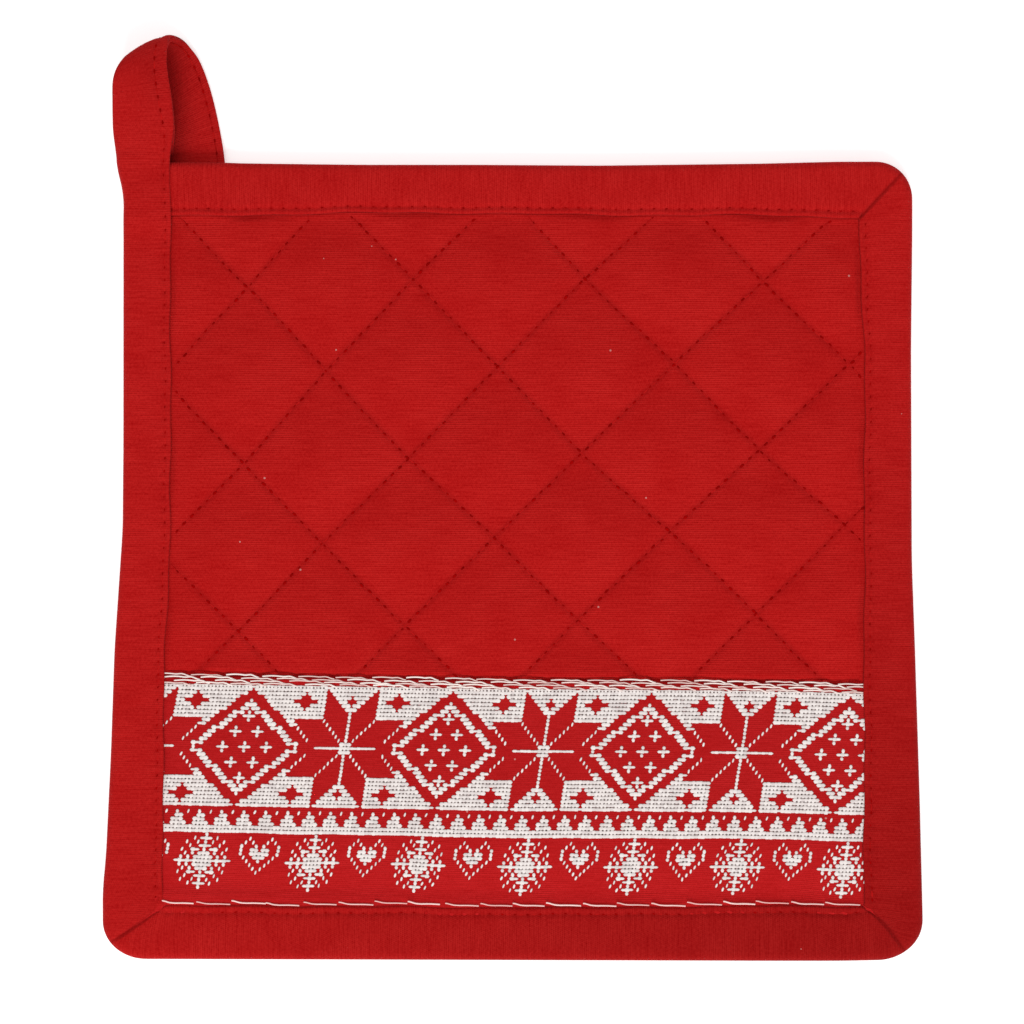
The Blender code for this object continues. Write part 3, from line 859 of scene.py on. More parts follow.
    def counted(self, x: Array, y: Array) -> tuple[Array, Array]:
        """Counts places on the true square in columns and rows of the sewn grid."""
        plain_x, plain_y = x, y
        for _ in range(4):
            shift_x, shift_y = self.shift(plain_x, plain_y)
            plain_x, plain_y = x - shift_x, y - shift_y
        column = np.interp(plain_x, self.columns, range(len(self.columns)))
        return column, np.interp(plain_y, self.rows, range(len(self.rows)))

    def sewn_lines(self) -> list[Array]:
        """The quilting's lines on the true square, each a fine path of (x, y)."""
        paths = []
        last_column, last_row = len(self.columns) - 1, len(self.rows) - 1
        for total in range(-last_row, last_row + last_column + 1, 2):
            for way in (1, -1):
                column = np.linspace(0, last_column, 40 * last_column + 1)
                row = (total - column) if way == 1 else (column - total)
                inside = (row >= 0) & (row <= last_row)
                if inside.sum() < 2:
                    continue
                x = np.interp(column[inside], range(last_column + 1), self.columns)
                y = np.interp(row[inside], range(last_row + 1), self.rows)
                shift_x, shift_y = self.shift(x, y)
                paths.append(np.stack([x + shift_x, y + shift_y], axis=1))
        return paths

    def needle_holes(self, upper: bool) -> list[Array]:
        """The needle holes of one face, as stretches of (x, y) on the true square.

        Args:
            upper: whether the upper face is meant, which the band covers in part.

        Returns:
            One array for each stretch of a sewn line.
        """
        random = np.random.default_rng(self.seed)
        inner = self.outline.half - self.outline.binding_width + 1.0
        stretches = []
        for path in self.sewn_lines():
            holes = along_path(path, self.seam.pitch, start=self.seam.pitch * random.random())
            sway = self.sway * np.sin(np.arange(len(holes)) / 3.1 + 6.0 * random.random())
            holes = holes + random.normal(0.0, self.jitter, holes.shape) + sway[:, None]
            shown = np.abs(holes).max(axis=1) < inner
            if upper:
                shown &= holes[:, 1] > self.outline.band_top(holes[:, 0]) + self.first_above
            if shown.sum() > 1:
                stretches.append(holes[shown])
        return stretches

    def height_at(self, surface: BVHTree, x: Array, y: Array, upper: bool) -> Array:
        """The height of the finished pad at places in the photograph's plane, in mm.

        Args:
            surface: the finished pad's surface.
            x: the places.
            y: the same.
            upper: whether its upper face is meant.

        Returns:
            The heights.
        """
        start, way = (0.05, -1.0) if upper else (-0.05, 1.0)
        hits = [surface.ray_cast((a * MM, b * MM, start), (0.0, 0.0, way))[0] for a, b in zip(x, y)]
        return np.array([hit.z for hit in hits]) / MM

    def nearness(self, points: Array, holes: list[Array]) -> Array:
        """How much each point is pulled in by the needle hole next to it, from 0 to 1; the same number is a
        painted shade in the cloth's colour.
        """
        spots = np.concatenate(holes)
        tree = kdtree.KDTree(len(spots))
        for number, spot in enumerate(spots):
            tree.insert((*spot, 0.0), number)
        tree.balance()
        distance = np.array([tree.find((x, y, 0.0))[2] for x, y in points])
        return self.hole_shade * np.exp(-((distance / self.hole_reach) ** 2))

    def beside_line(self, column: Array, row: Array) -> Array:
        """The painted shade, a deeper red, beside a sewn line, at places counted on the grid."""
        off = [np.abs((count + 1.0) % 2.0 - 1.0) for count in (column + row, column - row)]
        return self.line_shade * np.exp(-((np.minimum(*off) * self.line_spacing / self.line_reach) ** 2))

    def quilting_tree(self) -> bpy.types.NodeTree:
        """The tree that raises the squares between the sewn lines."""
        sizes = ("Crown", "Roundness", "Pull", "Unevenness", "Unevenness size", "Seed")
        sockets = dict.fromkeys(sizes, NUMBER) | {"Cotton": "NodeSocketMaterial"}
        tree, given = new_tree("Quilted squares by nodes", sockets)
        add = partial(add_node, tree)
        column, row, share, needle = (
            add(NAMED, {"Name": name}, data_type="FLOAT")
            for name in ("column", "row", "puff_share", "needle")
        )
        total = add(MATH, (column, row), operation="ADD")
        difference = add(MATH, (column, row), operation="SUBTRACT")
        arcs = []
        for count in (total, difference):
            off_line = add(MATH, (count, 1.0), operation="PINGPONG")
            angle = add(MATH, (off_line, math.pi / 2), operation="MULTIPLY")
            arcs.append(add(MATH, (angle,), operation="SINE"))
        both = add(MATH, (arcs[0], arcs[1]), operation="MULTIPLY", use_clamp=True)
        full = add(MATH, (both, given.outputs["Roundness"]), operation="POWER")
        size = given.outputs["Unevenness size"]
        noise = add("ShaderNodeTexNoise", {"W": given.outputs["Seed"], "Scale": size, "Detail": 2.0},
                    noise_dimensions="4D")
        sway = add(MATH, (noise, 0.5), operation="SUBTRACT")
        lumps = add(MATH, (sway, given.outputs["Unevenness"]), operation="MULTIPLY")
        filled = add(MATH, (full, given.outputs["Crown"], lumps), operation="MULTIPLY_ADD")
        pulled = add(MATH, (needle, given.outputs["Pull"]), operation="MULTIPLY")
        net = add(MATH, (filled, pulled), operation="SUBTRACT")
        raised = add(MATH, (net, share), operation="MULTIPLY")
        offset = add("ShaderNodeCombineXYZ", {2: raised})
        moved = add("GeometryNodeSetPosition", {0: given, "Offset": offset})
        end_tree(tree, moved, given.outputs["Cotton"])
        return tree

    def closed_faces(self, columns: int, rows: int, kept_columns: list[int],
                     kept_rows: list[int]) -> list[list[int]]:
        """The faces of the closed pad, whose underside has only some lines of the upper mesh.

        Args:
            columns: how many columns the upper mesh has.
            rows: how many rows.
            kept_columns: the numbers of the columns that the underside has too.
            kept_rows: the same for its rows.

        Returns:
            The point numbers of each face; the underside's points follow the upper ones.
        """
        top = np.arange(columns * rows).reshape(rows, columns)
        under_shape = (len(kept_rows), len(kept_columns))
        under = columns * rows + np.arange(len(kept_rows) * len(kept_columns)).reshape(under_shape)
        upper = np.stack([top[:-1, :-1], top[:-1, 1:], top[1:, 1:], top[1:, :-1]], axis=-1).reshape(-1, 4)
        lower = np.stack([under[:-1, :-1], under[1:, :-1], under[1:, 1:], under[:-1, 1:]],
                         axis=-1).reshape(-1, 4)
        faces = upper.tolist() + lower.tolist()
        for k, (a, b) in enumerate(zip(kept_columns, kept_columns[1:])):
            faces.append([*top[0, a : b + 1][::-1].tolist(), int(under[0, k]), int(under[0, k + 1])])
            faces.append([*top[-1, a : b + 1].tolist(), int(under[-1, k + 1]), int(under[-1, k])])
        for k, (a, b) in enumerate(zip(kept_rows, kept_rows[1:])):
            faces.append([*top[a : b + 1, 0].tolist(), int(under[k + 1, 0]), int(under[k, 0])])
            faces.append([*top[a : b + 1, -1][::-1].tolist(), int(under[k, -1]), int(under[k + 1, -1])])
        return faces

    def build(self, cotton: bpy.types.Material) -> bpy.types.Object:
        """Makes the pad as one closed mesh.

        Args:
            cotton: its finish.

        Returns:
            The piece.
        """
        columns, rows = self.lines()
        kept = len(self.hem) - 1
        some_columns, some_rows = self.thinned(columns, kept), self.thinned(rows, kept)
        faces = self.closed_faces(len(columns), len(rows), some_columns, some_rows)
        x, y = lattice(columns, rows)
        under_x, under_y = lattice(np.array(columns)[some_columns], np.array(rows)[some_rows])
        z, share = self.top_base(x, y)
        under_z, under_share = self.under_base(under_x, under_y)
        all_x, all_y = np.concatenate([x, under_x]), np.concatenate([y, under_y])
        points = np.stack([*self.outline.place(all_x, all_y), np.concatenate([z, under_z])], axis=1)
        obj = new_object("quilted_pad", points, faces)
        mesh = obj.data

        column, row = self.counted(all_x, all_y)
        store(mesh, "column", column)
        store(mesh, "row", row)
        store(mesh, "puff_share", np.concatenate([share, under_share]))
        # The needle attribute holds painted shade beside the binding, at needle holes and beside the sewn
        # lines; the tree also pulls the cloth in by it.
        past_hem = self.outline.inset(x, y) - self.hem_shade_inset
        hem_shade = self.hem_shade * np.exp(-((past_hem / self.hem_shade_reach) ** 2))
        needle = np.maximum(self.nearness(np.stack([x, y], axis=1), self.needle_holes(upper=True)), hem_shade)
        under_needle = self.nearness(np.stack([under_x, under_y], axis=1), self.needle_holes(upper=False))
        shade = self.beside_line(column, row) * np.concatenate([share, np.ones(len(under_x))])
        store(mesh, "needle", np.maximum(np.concatenate([needle, under_needle]), shade))
        store_weave(mesh, points[corner_points(mesh)][:, :2])
        values = {"Crown": self.crown * MM, "Roundness": self.roundness, "Pull": self.hole_pull * MM,
                  "Unevenness": self.unevenness * MM, "Unevenness size": 1 / (self.lump * MM),
                  "Seed": self.lump_seed, "Cotton": cotton}
        run_tree(obj, self.quilting_tree(), values)
        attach(obj, BODY)
        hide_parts("quilted_panel")
        return obj

    def build_stitches(self, pad: bpy.types.Object, thread: bpy.types.Material,
                       sunk: bpy.types.Material) -> list[bpy.types.Object]:
        """Makes the quilting stitches of both faces, and dark discs painted as the shade of the holes that
        they sink into.

        Args:
            pad: the finished pad.
            thread: the finish of the thread that lies on the cloth.
            sunk: the finish of the dark discs, painted shade in the needle holes.

        Returns:
            The piece of all the stitches and the piece of all the painted hole shade.
        """
        random = np.random.default_rng(self.seed + 1)
        surface = BVHTree.FromObject(pad, bpy.context.evaluated_depsgraph_get())
        stitches, sinks = Threads(), Threads()
        for upper in (True, False):
            out = 1.0 if upper else -1.0
            for holes in self.needle_holes(upper):
                x, y = self.outline.place(holes[:, 0], holes[:, 1])
                height = self.height_at(surface, x, y, upper)
                spots = np.stack([x, y, height], axis=1)
                outs = np.tile(UP * out, (len(spots) - 1, 1))
                self.seam.sew(spots, outs, random, stitches, sinks)
        made = [
            stitches.build("quilting_stitches", ThreadForm.STITCH, thread, seed=5, height=0.7, share=0.8),
            sinks.build("quilting_hole_shade_discs", ThreadForm.KNOT, sunk, seed=4, height=0.2),
        ]
        for piece in made:
            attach(piece, BODY)
        return made


# ---- The woven band ----

# A quarter of the flake of the lower register, from its middle outwards and downwards: "#" is white.
FLAKE_QUARTER = (
    "########",
    "###.#.#.",
    "##.#.#..",
    "#.##..#.",
    "##..#...",
    "#.#..#..",
    "##.#....",
    "#.......",
)
# The heart of the lower register: an outline of single ticks round a small full heart.
HEART = (
    "..#.....#..",
    ".#.#...#.#.",
    "#...#.#...#",
    "#..##.##..#",
    "#..#####..#",
    ".#..###..#.",
    "..#..#..#..",
    "...#...#...",
    "....#.#....",
    ".....#.....",
)
# One tooth of the row between the registers, with the tick beside it.
TOOTH = (
    "..#..#",
    "..##..",
    ".###..",
    ".####.",
    "######",
    "######",
)


@dataclass
class WovenBand:
    """The jacquard band: white weft brought up out of red cloth, with loose floats at its edges."""

    outline: Outline
    setback: float = 4.6  # from the outline to the band's hidden edge
    level: float = 3.8  # the height of its face
    lower_rise: float = 0.75  # how far it climbs just before it goes under the lower binding
    cloth: float = 1.0
    roll: float = 0.9  # how far in and down its upper edge rolls
    # The height of each wave of its face, and the mm in a radian of it, across and downwards.
    waves: tuple[tuple[float, float, float], ...] = ((0.12, 11.0, 17.0), (0.08, 5.3, -7.0))
    columns: int = 129  # of its mesh
    rows: int = 49
    height: float = 64.3  # down to its hidden edge, or less where that would pass the setback
    cell_width: float = 0.892
    cell_height: float = 0.974
    first_column: float = -90.0
    first_row: float = 2.15  # from the band's upper edge to the middle of its first row
    first_drop: float = 0.4  # how much closer to the second row the first one lies
    lean: float = 0.16  # how far the columns lean to the left on their way down
    register_rows: int = 32
    teeth_row: int = 33
    lower_row: int = 39
    repeat: int = 56  # of the big figures, in cells
    small_repeat: int = 30  # of flakes and hearts
    flake_column: int = 22
    heart_column: int = 37
    tooth_column: int = 1
    edge: float = 88.3  # how far to each side the figures go, under the binding
    deepening: float = 0.35  # how much deeper the red is in the upper register than in the lower: partly the red weft dipping beside the crowded white, partly painted shade between the white figures
    top_float: float = 8.9  # the length of a float of the upper edge
    top_pitch: float = 9.0
    top_lift: float = 0.25
    # How far down each tier of the upper edge lies, and how far along its first float starts.
    tiers: tuple[tuple[float, float], ...] = ((-0.2, 0.0), (0.52, 3.1), (1.2, 6.0), (1.85, 0.9))
    last_float: float = 8.6  # the length of a float above the lower binding
    last_pitch: float = 8.75
    last_lift: float = 0.15
    last_above: float = 0.6
    float_breadth: float = 0.36
    white_lift: float = 0.1  # how far the white weft stands off the cloth
    gap_lift: float = 0.18
    tick_lean: float = 0.38  # of a lone tick, to the right for each mm up
    tick_length: float = 1.2  # in cells, as the next five
    joined_length: float = 1.72
    apart_length: float = 1.05
    tick_breadth: float = 0.62
    stacked_breadth: float = 1.17
    row_breadth: float = 0.74
    gap_run: tuple[float, float, float] = (0.5, 0.05, 0.0)  # mm
    gap_breadth: float = 0.46
    deep_until: float = 37.0  # where the upper register's red starts to fade
    deep_fade: float = 8.0
    climb_from: float = 53.5  # how far down the cloth starts to climb to the lower binding
    climb: float = 3.0
    seed: int = 23

    def ripple(self, x: Array, down: Array) -> Array:
        """How far the band's face stands above or below its level."""
        slow = sum(height * np.sin(x / across + down / along) for height, across, along in self.waves)
        edge_roll = -self.roll * np.clip(1.0 - down / self.roll, 0.0, 1.0) ** 2
        return slow + edge_roll + self.lower_rise * smoothstep((down - self.climb_from) / self.climb)

    def at(self, x: Array, down: Array) -> Array:
        """Points of the band's face.

        Args:
            x: places across it on the true square.
            down: how far below its upper edge.

        Returns:
            The points, one row each.
        """
        y = self.outline.band_top(x) - down
        placed_x, placed_y = self.outline.place(x, y)
        return np.stack([placed_x, placed_y, self.level + self.ripple(x, down)], axis=1)

    def build_cloth(self, cotton: bpy.types.Material) -> bpy.types.Object:
        """Makes the band's cloth as one closed sheet."""
        reach = self.outline.half - self.setback
        across = np.linspace(-reach, reach, self.columns)
        shares = np.linspace(0.0, 1.0, self.rows)
        downs = np.concatenate([[0.0, 0.15, 0.4, 0.7, 1.0], 1.0 + shares[1:] * (self.height - 1.0)])
        width, depth = len(across), len(downs)
        x, down = lattice(across, downs)
        lowest = self.outline.band_top(x) + reach
        face = self.at(x, np.minimum(down, lowest))
        back = face - (0.0, 0.0, self.cloth)
        back[:, 2] = np.minimum(back[:, 2], self.level - self.cloth + 0.1)
        grid = np.arange(width * depth).reshape(depth, width)
        quads = np.stack([grid[1:, :-1], grid[1:, 1:], grid[:-1, 1:], grid[:-1, :-1]], axis=-1).reshape(-1, 4)
        below = width * depth
        rim = np.concatenate([grid[0, :-1], grid[:-1, -1], grid[-1, :0:-1], grid[:0:-1, 0]])
        after = np.roll(rim, -1)
        skirt = np.stack([rim, after, after + below, rim + below], axis=1)
        faces = np.concatenate([quads, quads[:, ::-1] + below, skirt])
        points = np.concatenate([face, back])
        if turn_outwards(points, faces):
            faces = faces[:, ::-1]
        obj = new_object("woven_band", points, faces.tolist())
        # Darker red in the upper register, partly painted shade between its white figures.
        deep = self.deepening * (1.0 - smoothstep((down - self.deep_until) / self.deep_fade))
        store(obj.data, "darkening_and_painted_shade", np.tile(deep, 2))
        flat = np.stack([x, -down], axis=1)
        store_weave(obj.data, np.concatenate([flat, flat])[corner_points(obj.data)])
        obj.data.materials.append(cotton)
        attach(obj, BODY)
        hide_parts("border_band")
        return obj

    def big_figures(self, column: int, row: int) -> bool:
        """Whether a cell of the upper register is red.

        Its pattern is eight-pointed stars between framed lozenges of small crosses.

        Args:
            column: the cell's column.
            row: its row.

        Returns:
            Whether it is red.
        """
        middle = self.register_rows // 2
        up = row - middle
        to_star = (column + self.repeat // 2) % self.repeat - self.repeat // 2
        to_lozenge = column % self.repeat - self.repeat // 2
        near, far = sorted((abs(to_star), abs(up)))
        petal = 1 <= near <= 7 and near + 1 <= far <= near + 8
        bud = near + abs(far - 12) <= 1
        spark = 0.8 * abs(abs(to_star) - 13) + abs(abs(up) - 12) < 2.5
        ring = 0.8 * abs(to_lozenge) + abs(up)
        off_tier = (up + 2) % 4 - 2
        shift = 3 * ((up - off_tier) // 4 % 2)
        beside = (to_lozenge + shift + 3) % 6 - 3
        from_middle = 0.8 * abs(to_lozenge - beside) + abs(up - off_tier)
        cross = abs(beside) + abs(off_tier) <= 1 and from_middle < 8.5
        lozenge = ring < 10.6 and not cross
        frame_line = 12.3 <= ring < 15.6
        return petal or bud or spark or lozenge or frame_line

    def white(self, column: int, row: int) -> bool:
        """Whether a cell of the band's chart is white."""
        if row < self.register_rows:
            return not self.big_figures(column, row)
        if self.teeth_row <= row < self.teeth_row + len(TOOTH):
            place = (column - self.tooth_column + 2) % len(TOOTH[0])
            return TOOTH[row - self.teeth_row][place] == "#"
        if row < self.lower_row:
            return False
        reach = len(FLAKE_QUARTER) - 1
        flake_x = abs((column - self.flake_column + 15) % self.small_repeat - 15)
        flake_y = abs(row - self.lower_row - reach)
        if flake_y <= reach and flake_x < len(FLAKE_QUARTER[0]):
            return FLAKE_QUARTER[flake_y][flake_x] == "#"
        heart_x = (column - self.heart_column + 5) % self.small_repeat
        heart_y = row - self.lower_row - 1
        if 0 <= heart_y < len(HEART) and heart_x < len(HEART[0]):
            return HEART[heart_y][heart_x] == "#"
        return False

    def chart(self) -> Array:
        """The band's chart: whether each cell is white, row by row, with a spare column at each side."""
        rows = self.lower_row + 2 * len(FLAKE_QUARTER) - 1
        columns = round((2 * self.edge + 14.0) / self.cell_width)
        return np.array([[self.white(column, row) for column in range(-1,
                                                                      columns + 1)] for row in range(rows)])

    def cell(self, column: Array, row: Array) -> tuple[Array, Array]:
        """The places of cells: across the band on the true square, and below its upper edge."""
        down = self.first_row + row * self.cell_height + self.first_drop * (row == 0)
        return self.first_column + column * self.cell_width - self.lean * down, down

    def build_figures(self, yarn: bpy.types.Material) -> bpy.types.Object:
        """Makes the white of the band: one short length of weft for each white cell of its chart.

        Args:
            yarn: its finish.

        Returns:
            The piece.
        """
        random = np.random.default_rng(self.seed)
        threads = Threads()
        chart = np.pad(self.chart(), ((1, 1), (0, 0)))
        row, column = np.nonzero(chart[1:-1, 1:-1])
        beside = chart[row + 1, column] | chart[row + 1, column + 2]
        above = chart[row, column + 1] | chart[row + 2, column + 1]
        x, down = self.cell(column, row)
        shown = np.abs(x) < self.edge
        x, down, beside, above = x[shown], down[shown], beside[shown], above[shown]
        spots = self.at(x + random.normal(0.0, 0.03, len(x)), down + random.normal(0.0, 0.02, len(x)))
        spots[:, 2] += self.white_lift
        weft = np.array([1.0, self.outline.band_slope, 0.0]) * self.cell_width
        tick = np.array([self.tick_lean, 1.0, 0.0]) * self.cell_height * self.tick_length
        tilt = random.normal(0.0, 0.08, len(x))
        lengths = np.where(beside, self.joined_length, self.apart_length)[:, None]
        alone = ~beside & ~above
        runs = np.where(alone[:, None], tick, weft * lengths)
        runs = runs + np.stack([-runs[:, 1] * tilt, runs[:, 0] * tilt, 0 * tilt], axis=1) * ~beside[:, None]
        stacked = self.cell_height * np.where(above, self.stacked_breadth, self.row_breadth)
        breadths = np.where(alone, self.cell_width * self.tick_breadth, stacked)
        threads.add(spots, runs, breadths, UP)
        obj = threads.build("band_figures", ThreadForm.KNOT, yarn, seed=7, height=0.13)
        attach(obj, BODY)
        return obj

    def build_gaps(self, shade: bpy.types.Material) -> bpy.types.Object:
        """Makes a dark disc where four white cells of the chart meet, a painted shade of the gap between
        them.

        Args:
            shade: its finish, a painted shade.

        Returns:
            The piece.
        """
        random = np.random.default_rng(self.seed + 3)
        threads = Threads()
        chart = self.chart()[:, 1:-1]
        row, column = np.nonzero(chart[1:, 1:] & chart[1:, :-1] & chart[:-1, 1:] & chart[:-1, :-1])
        x, down = self.cell(column + 0.5, row + 0.5)
        shown = np.abs(x) < self.edge
        x, down = x[shown], down[shown]
        spots = self.at(x + random.normal(0.0, 0.03, len(x)), down)
        spots[:, 2] += self.gap_lift
        sizes = random.uniform(0.7, 1.15, (len(x), 1))
        threads.add(spots, np.array([self.gap_run]) * sizes, self.gap_breadth * sizes[:, 0], UP)
        obj = threads.build("band_gap_shade_discs", ThreadForm.KNOT, shade, seed=8, height=0.2)
        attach(obj, BODY)
        return obj

    def build_floats(self, yarn: bpy.types.Material) -> bpy.types.Object:
        """Makes the loose floats in tiers at the band's upper edge.

        Args:
            yarn: their finish.

        Returns:
            The piece.
        """
        random = np.random.default_rng(self.seed + 1)
        threads = Threads()
        length = self.top_float
        for down, start in self.tiers:
            x = np.arange(-self.edge - 2.0 + start, self.edge - 2.0, self.top_pitch)
            x = x + random.normal(0.0, 0.35, len(x))
            spots = self.at(x + length / 2, np.full(len(x), down) + random.normal(0.0, 0.08, len(x)))
            spots[:, 2] = self.level + self.top_lift
            run = np.array([[length, self.outline.band_slope * length, 0.0]])
            threads.add(spots, run * random.uniform(0.9, 1.04, (len(x), 1)), self.float_breadth, UP)
        obj = threads.build("band_floats", ThreadForm.FLOAT, yarn, seed=9, height=1.0, arch=0.5, hook=-1.9,
                            bow=0.5, ratio=length / self.float_breadth)
        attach(obj, BODY)
        return obj

    def build_last_row(self, yarn: bpy.types.Material) -> bpy.types.Object:
        """Makes the single row of floats above the lower binding.

        Args:
            yarn: their finish.

        Returns:
            The piece.
        """
        random = np.random.default_rng(self.seed + 2)
        threads = Threads()
        length = self.last_float
        x = np.arange(-self.edge, self.edge - 3.0, self.last_pitch)
        x = x + random.normal(0.0, 0.3, len(x))
        middle = x + length / 2
        lowest = self.outline.band_top(middle) + self.outline.half - self.outline.binding_width
        spots = self.at(middle, lowest - self.last_above + random.normal(0.0, 0.1, len(x)))
        spots[:, 2] += self.last_lift
        run = np.array([[-length, 0.25, 0.0]])
        threads.add(spots, run * random.uniform(0.92, 1.03, (len(x), 1)), self.float_breadth, UP)
        obj = threads.build("band_last_row", ThreadForm.FLOAT, yarn, seed=12, height=1.0, arch=-0.2,
                            hook=-1.1,
                            bow=0.4, ratio=length / self.float_breadth)
        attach(obj, BODY)
        return obj


# ---- The binding strip and its loop ----


@dataclass(frozen=True)
class Run:
    """One side of the binding: its quarter turns, what it climbs over, and which of its ends are mitred."""

    turn: int
    along: tuple[float, ...] = (-100.0, 100.0)
    lift: tuple[float, ...] = (0.0, 0.0)
    rise: tuple[float, ...] = (0.0, 0.0)
    first_mitred: bool = True
    last_mitred: bool = True
    start: float = -100.0


RUNS = (
    Run(0, PRESS_TOP_ALONG, PRESS_TOP_LIFT, PRESS_TOP_RISE, first_mitred=False, start=-97.0),
    Run(1),
    Run(2),
    Run(3, PRESS_LEFT_ALONG, (0.0, 0.0, 0.0, 0.0), PRESS_LEFT_RISE, last_mitred=False),
)


@dataclass(frozen=True)
class Crease:
    """A soft crease in the strip: its middle, its direction, half its length, its breadth and its depth."""

    x: float
    y: float
    degrees: float
    reach: float
    breadth: float
    depth: float

    def sink(self, x: Array, y: Array) -> Array:
        """How far it sinks the cloth at each place."""
        turn = math.radians(self.degrees)
        along = (x - self.x) * math.cos(turn) + (y - self.y) * math.sin(turn)
        aside = (y - self.y) * math.cos(turn) - (x - self.x) * math.sin(turn)
        return self.depth * np.exp(-((along / self.reach) ** 4)) * np.exp(-((aside / self.breadth) ** 2))


CREASES = (
    Crease(19.6, 94.7, -41.0, 5.5, 0.9, 0.25),
    Crease(-76.1, 89.8, 35.0, 2.4, 0.6, 0.30),
    Crease(-72.6, 90.2, 30.0, 2.2, 0.6, 0.25),
    Crease(-68.5, 90.4, 38.0, 2.0, 0.6, 0.20),
    Crease(95.3, -82.9, 4.0, 5.5, 1.1, 0.45),
    Crease(91.6, -61.3, 18.0, 3.4, 0.8, 0.30),
    Crease(91.2, -66.3, 12.0, 3.0, 0.8, 0.25),
    Crease(91.6, -70.8, 16.0, 3.4, 0.8, 0.30),
    Crease(80.2, -88.6, -3.0, 6.0, 0.9, 0.30),
    Crease(-94.5, -36.0, 8.0, 4.0, 1.2, 0.20),
)

# The loop's strip, row by row from its foot to the end of its tail: its folded edge and its stitched edge on
# the strip's middle surface, and how far its middle bulges towards +Y, all in mm.
LOOP_ROWS = np.array([
    (-100.9, 100.6, 3.3, -85.6, 100.6, 5.8, 0.0),
    (-100.85, 108.3, 6.4, -85.3, 108.3, 7.9, 0.0),
    (-100.5, 115.0, 9.8, -85.8, 116.0, 9.2, 0.0),
    (-100.1, 120.0, 11.6, -87.1, 124.0, 8.6, 0.3),
    (-98.8, 123.6, 10.8, -87.0, 129.6, 6.8, 0.8),
    (-96.1, 125.6, 7.6, -86.2, 131.6, 4.6, 0.85),
    (-94.9, 124.6, 3.8, -83.8, 131.2, 2.6, 1.0),
    (-93.6, 121.6, 1.5, -81.9, 129.4, 1.3, 0.4),
    (-92.0, 117.2, 0.8, -79.6, 126.0, 0.8, 0.0),
    (-90.3, 111.2, 0.8, -77.0, 119.0, 0.8, 0.0),
    (-88.6, 105.2, 0.8, -74.8, 109.8, 0.8, 0.0),
    (-87.6, 100.4, 0.8, -73.4, 101.0, 0.8, 0.0),
    (-87.2, 95.0, 0.8, -73.4, 95.0, 0.8, 0.0),
    (-87.2, 90.0, 0.8, -73.4, 90.0, 0.8, 0.0),
])


@dataclass(frozen=True)
class Ring:
    """One closed section of the strip, given at each of its insets or as one number."""

    middle: Array  # its middle surface
    normal: Array
    half: float  # half its thickness
    rounding: float  # how far in from the fold it rounds off
    phase: float  # the count of stitches before it, whole at a needle hole
    weave: Array  # its places along the strip
    crease: float = 0.0  # 1 on a mitre
    fullness: float = 0.0  # how much fuller it is than the plain strip

    def at_hole(self) -> float:
        """How near the ring is to a needle hole, from 0 to 1."""
        return max(0.0, math.cos(math.tau * self.phase))


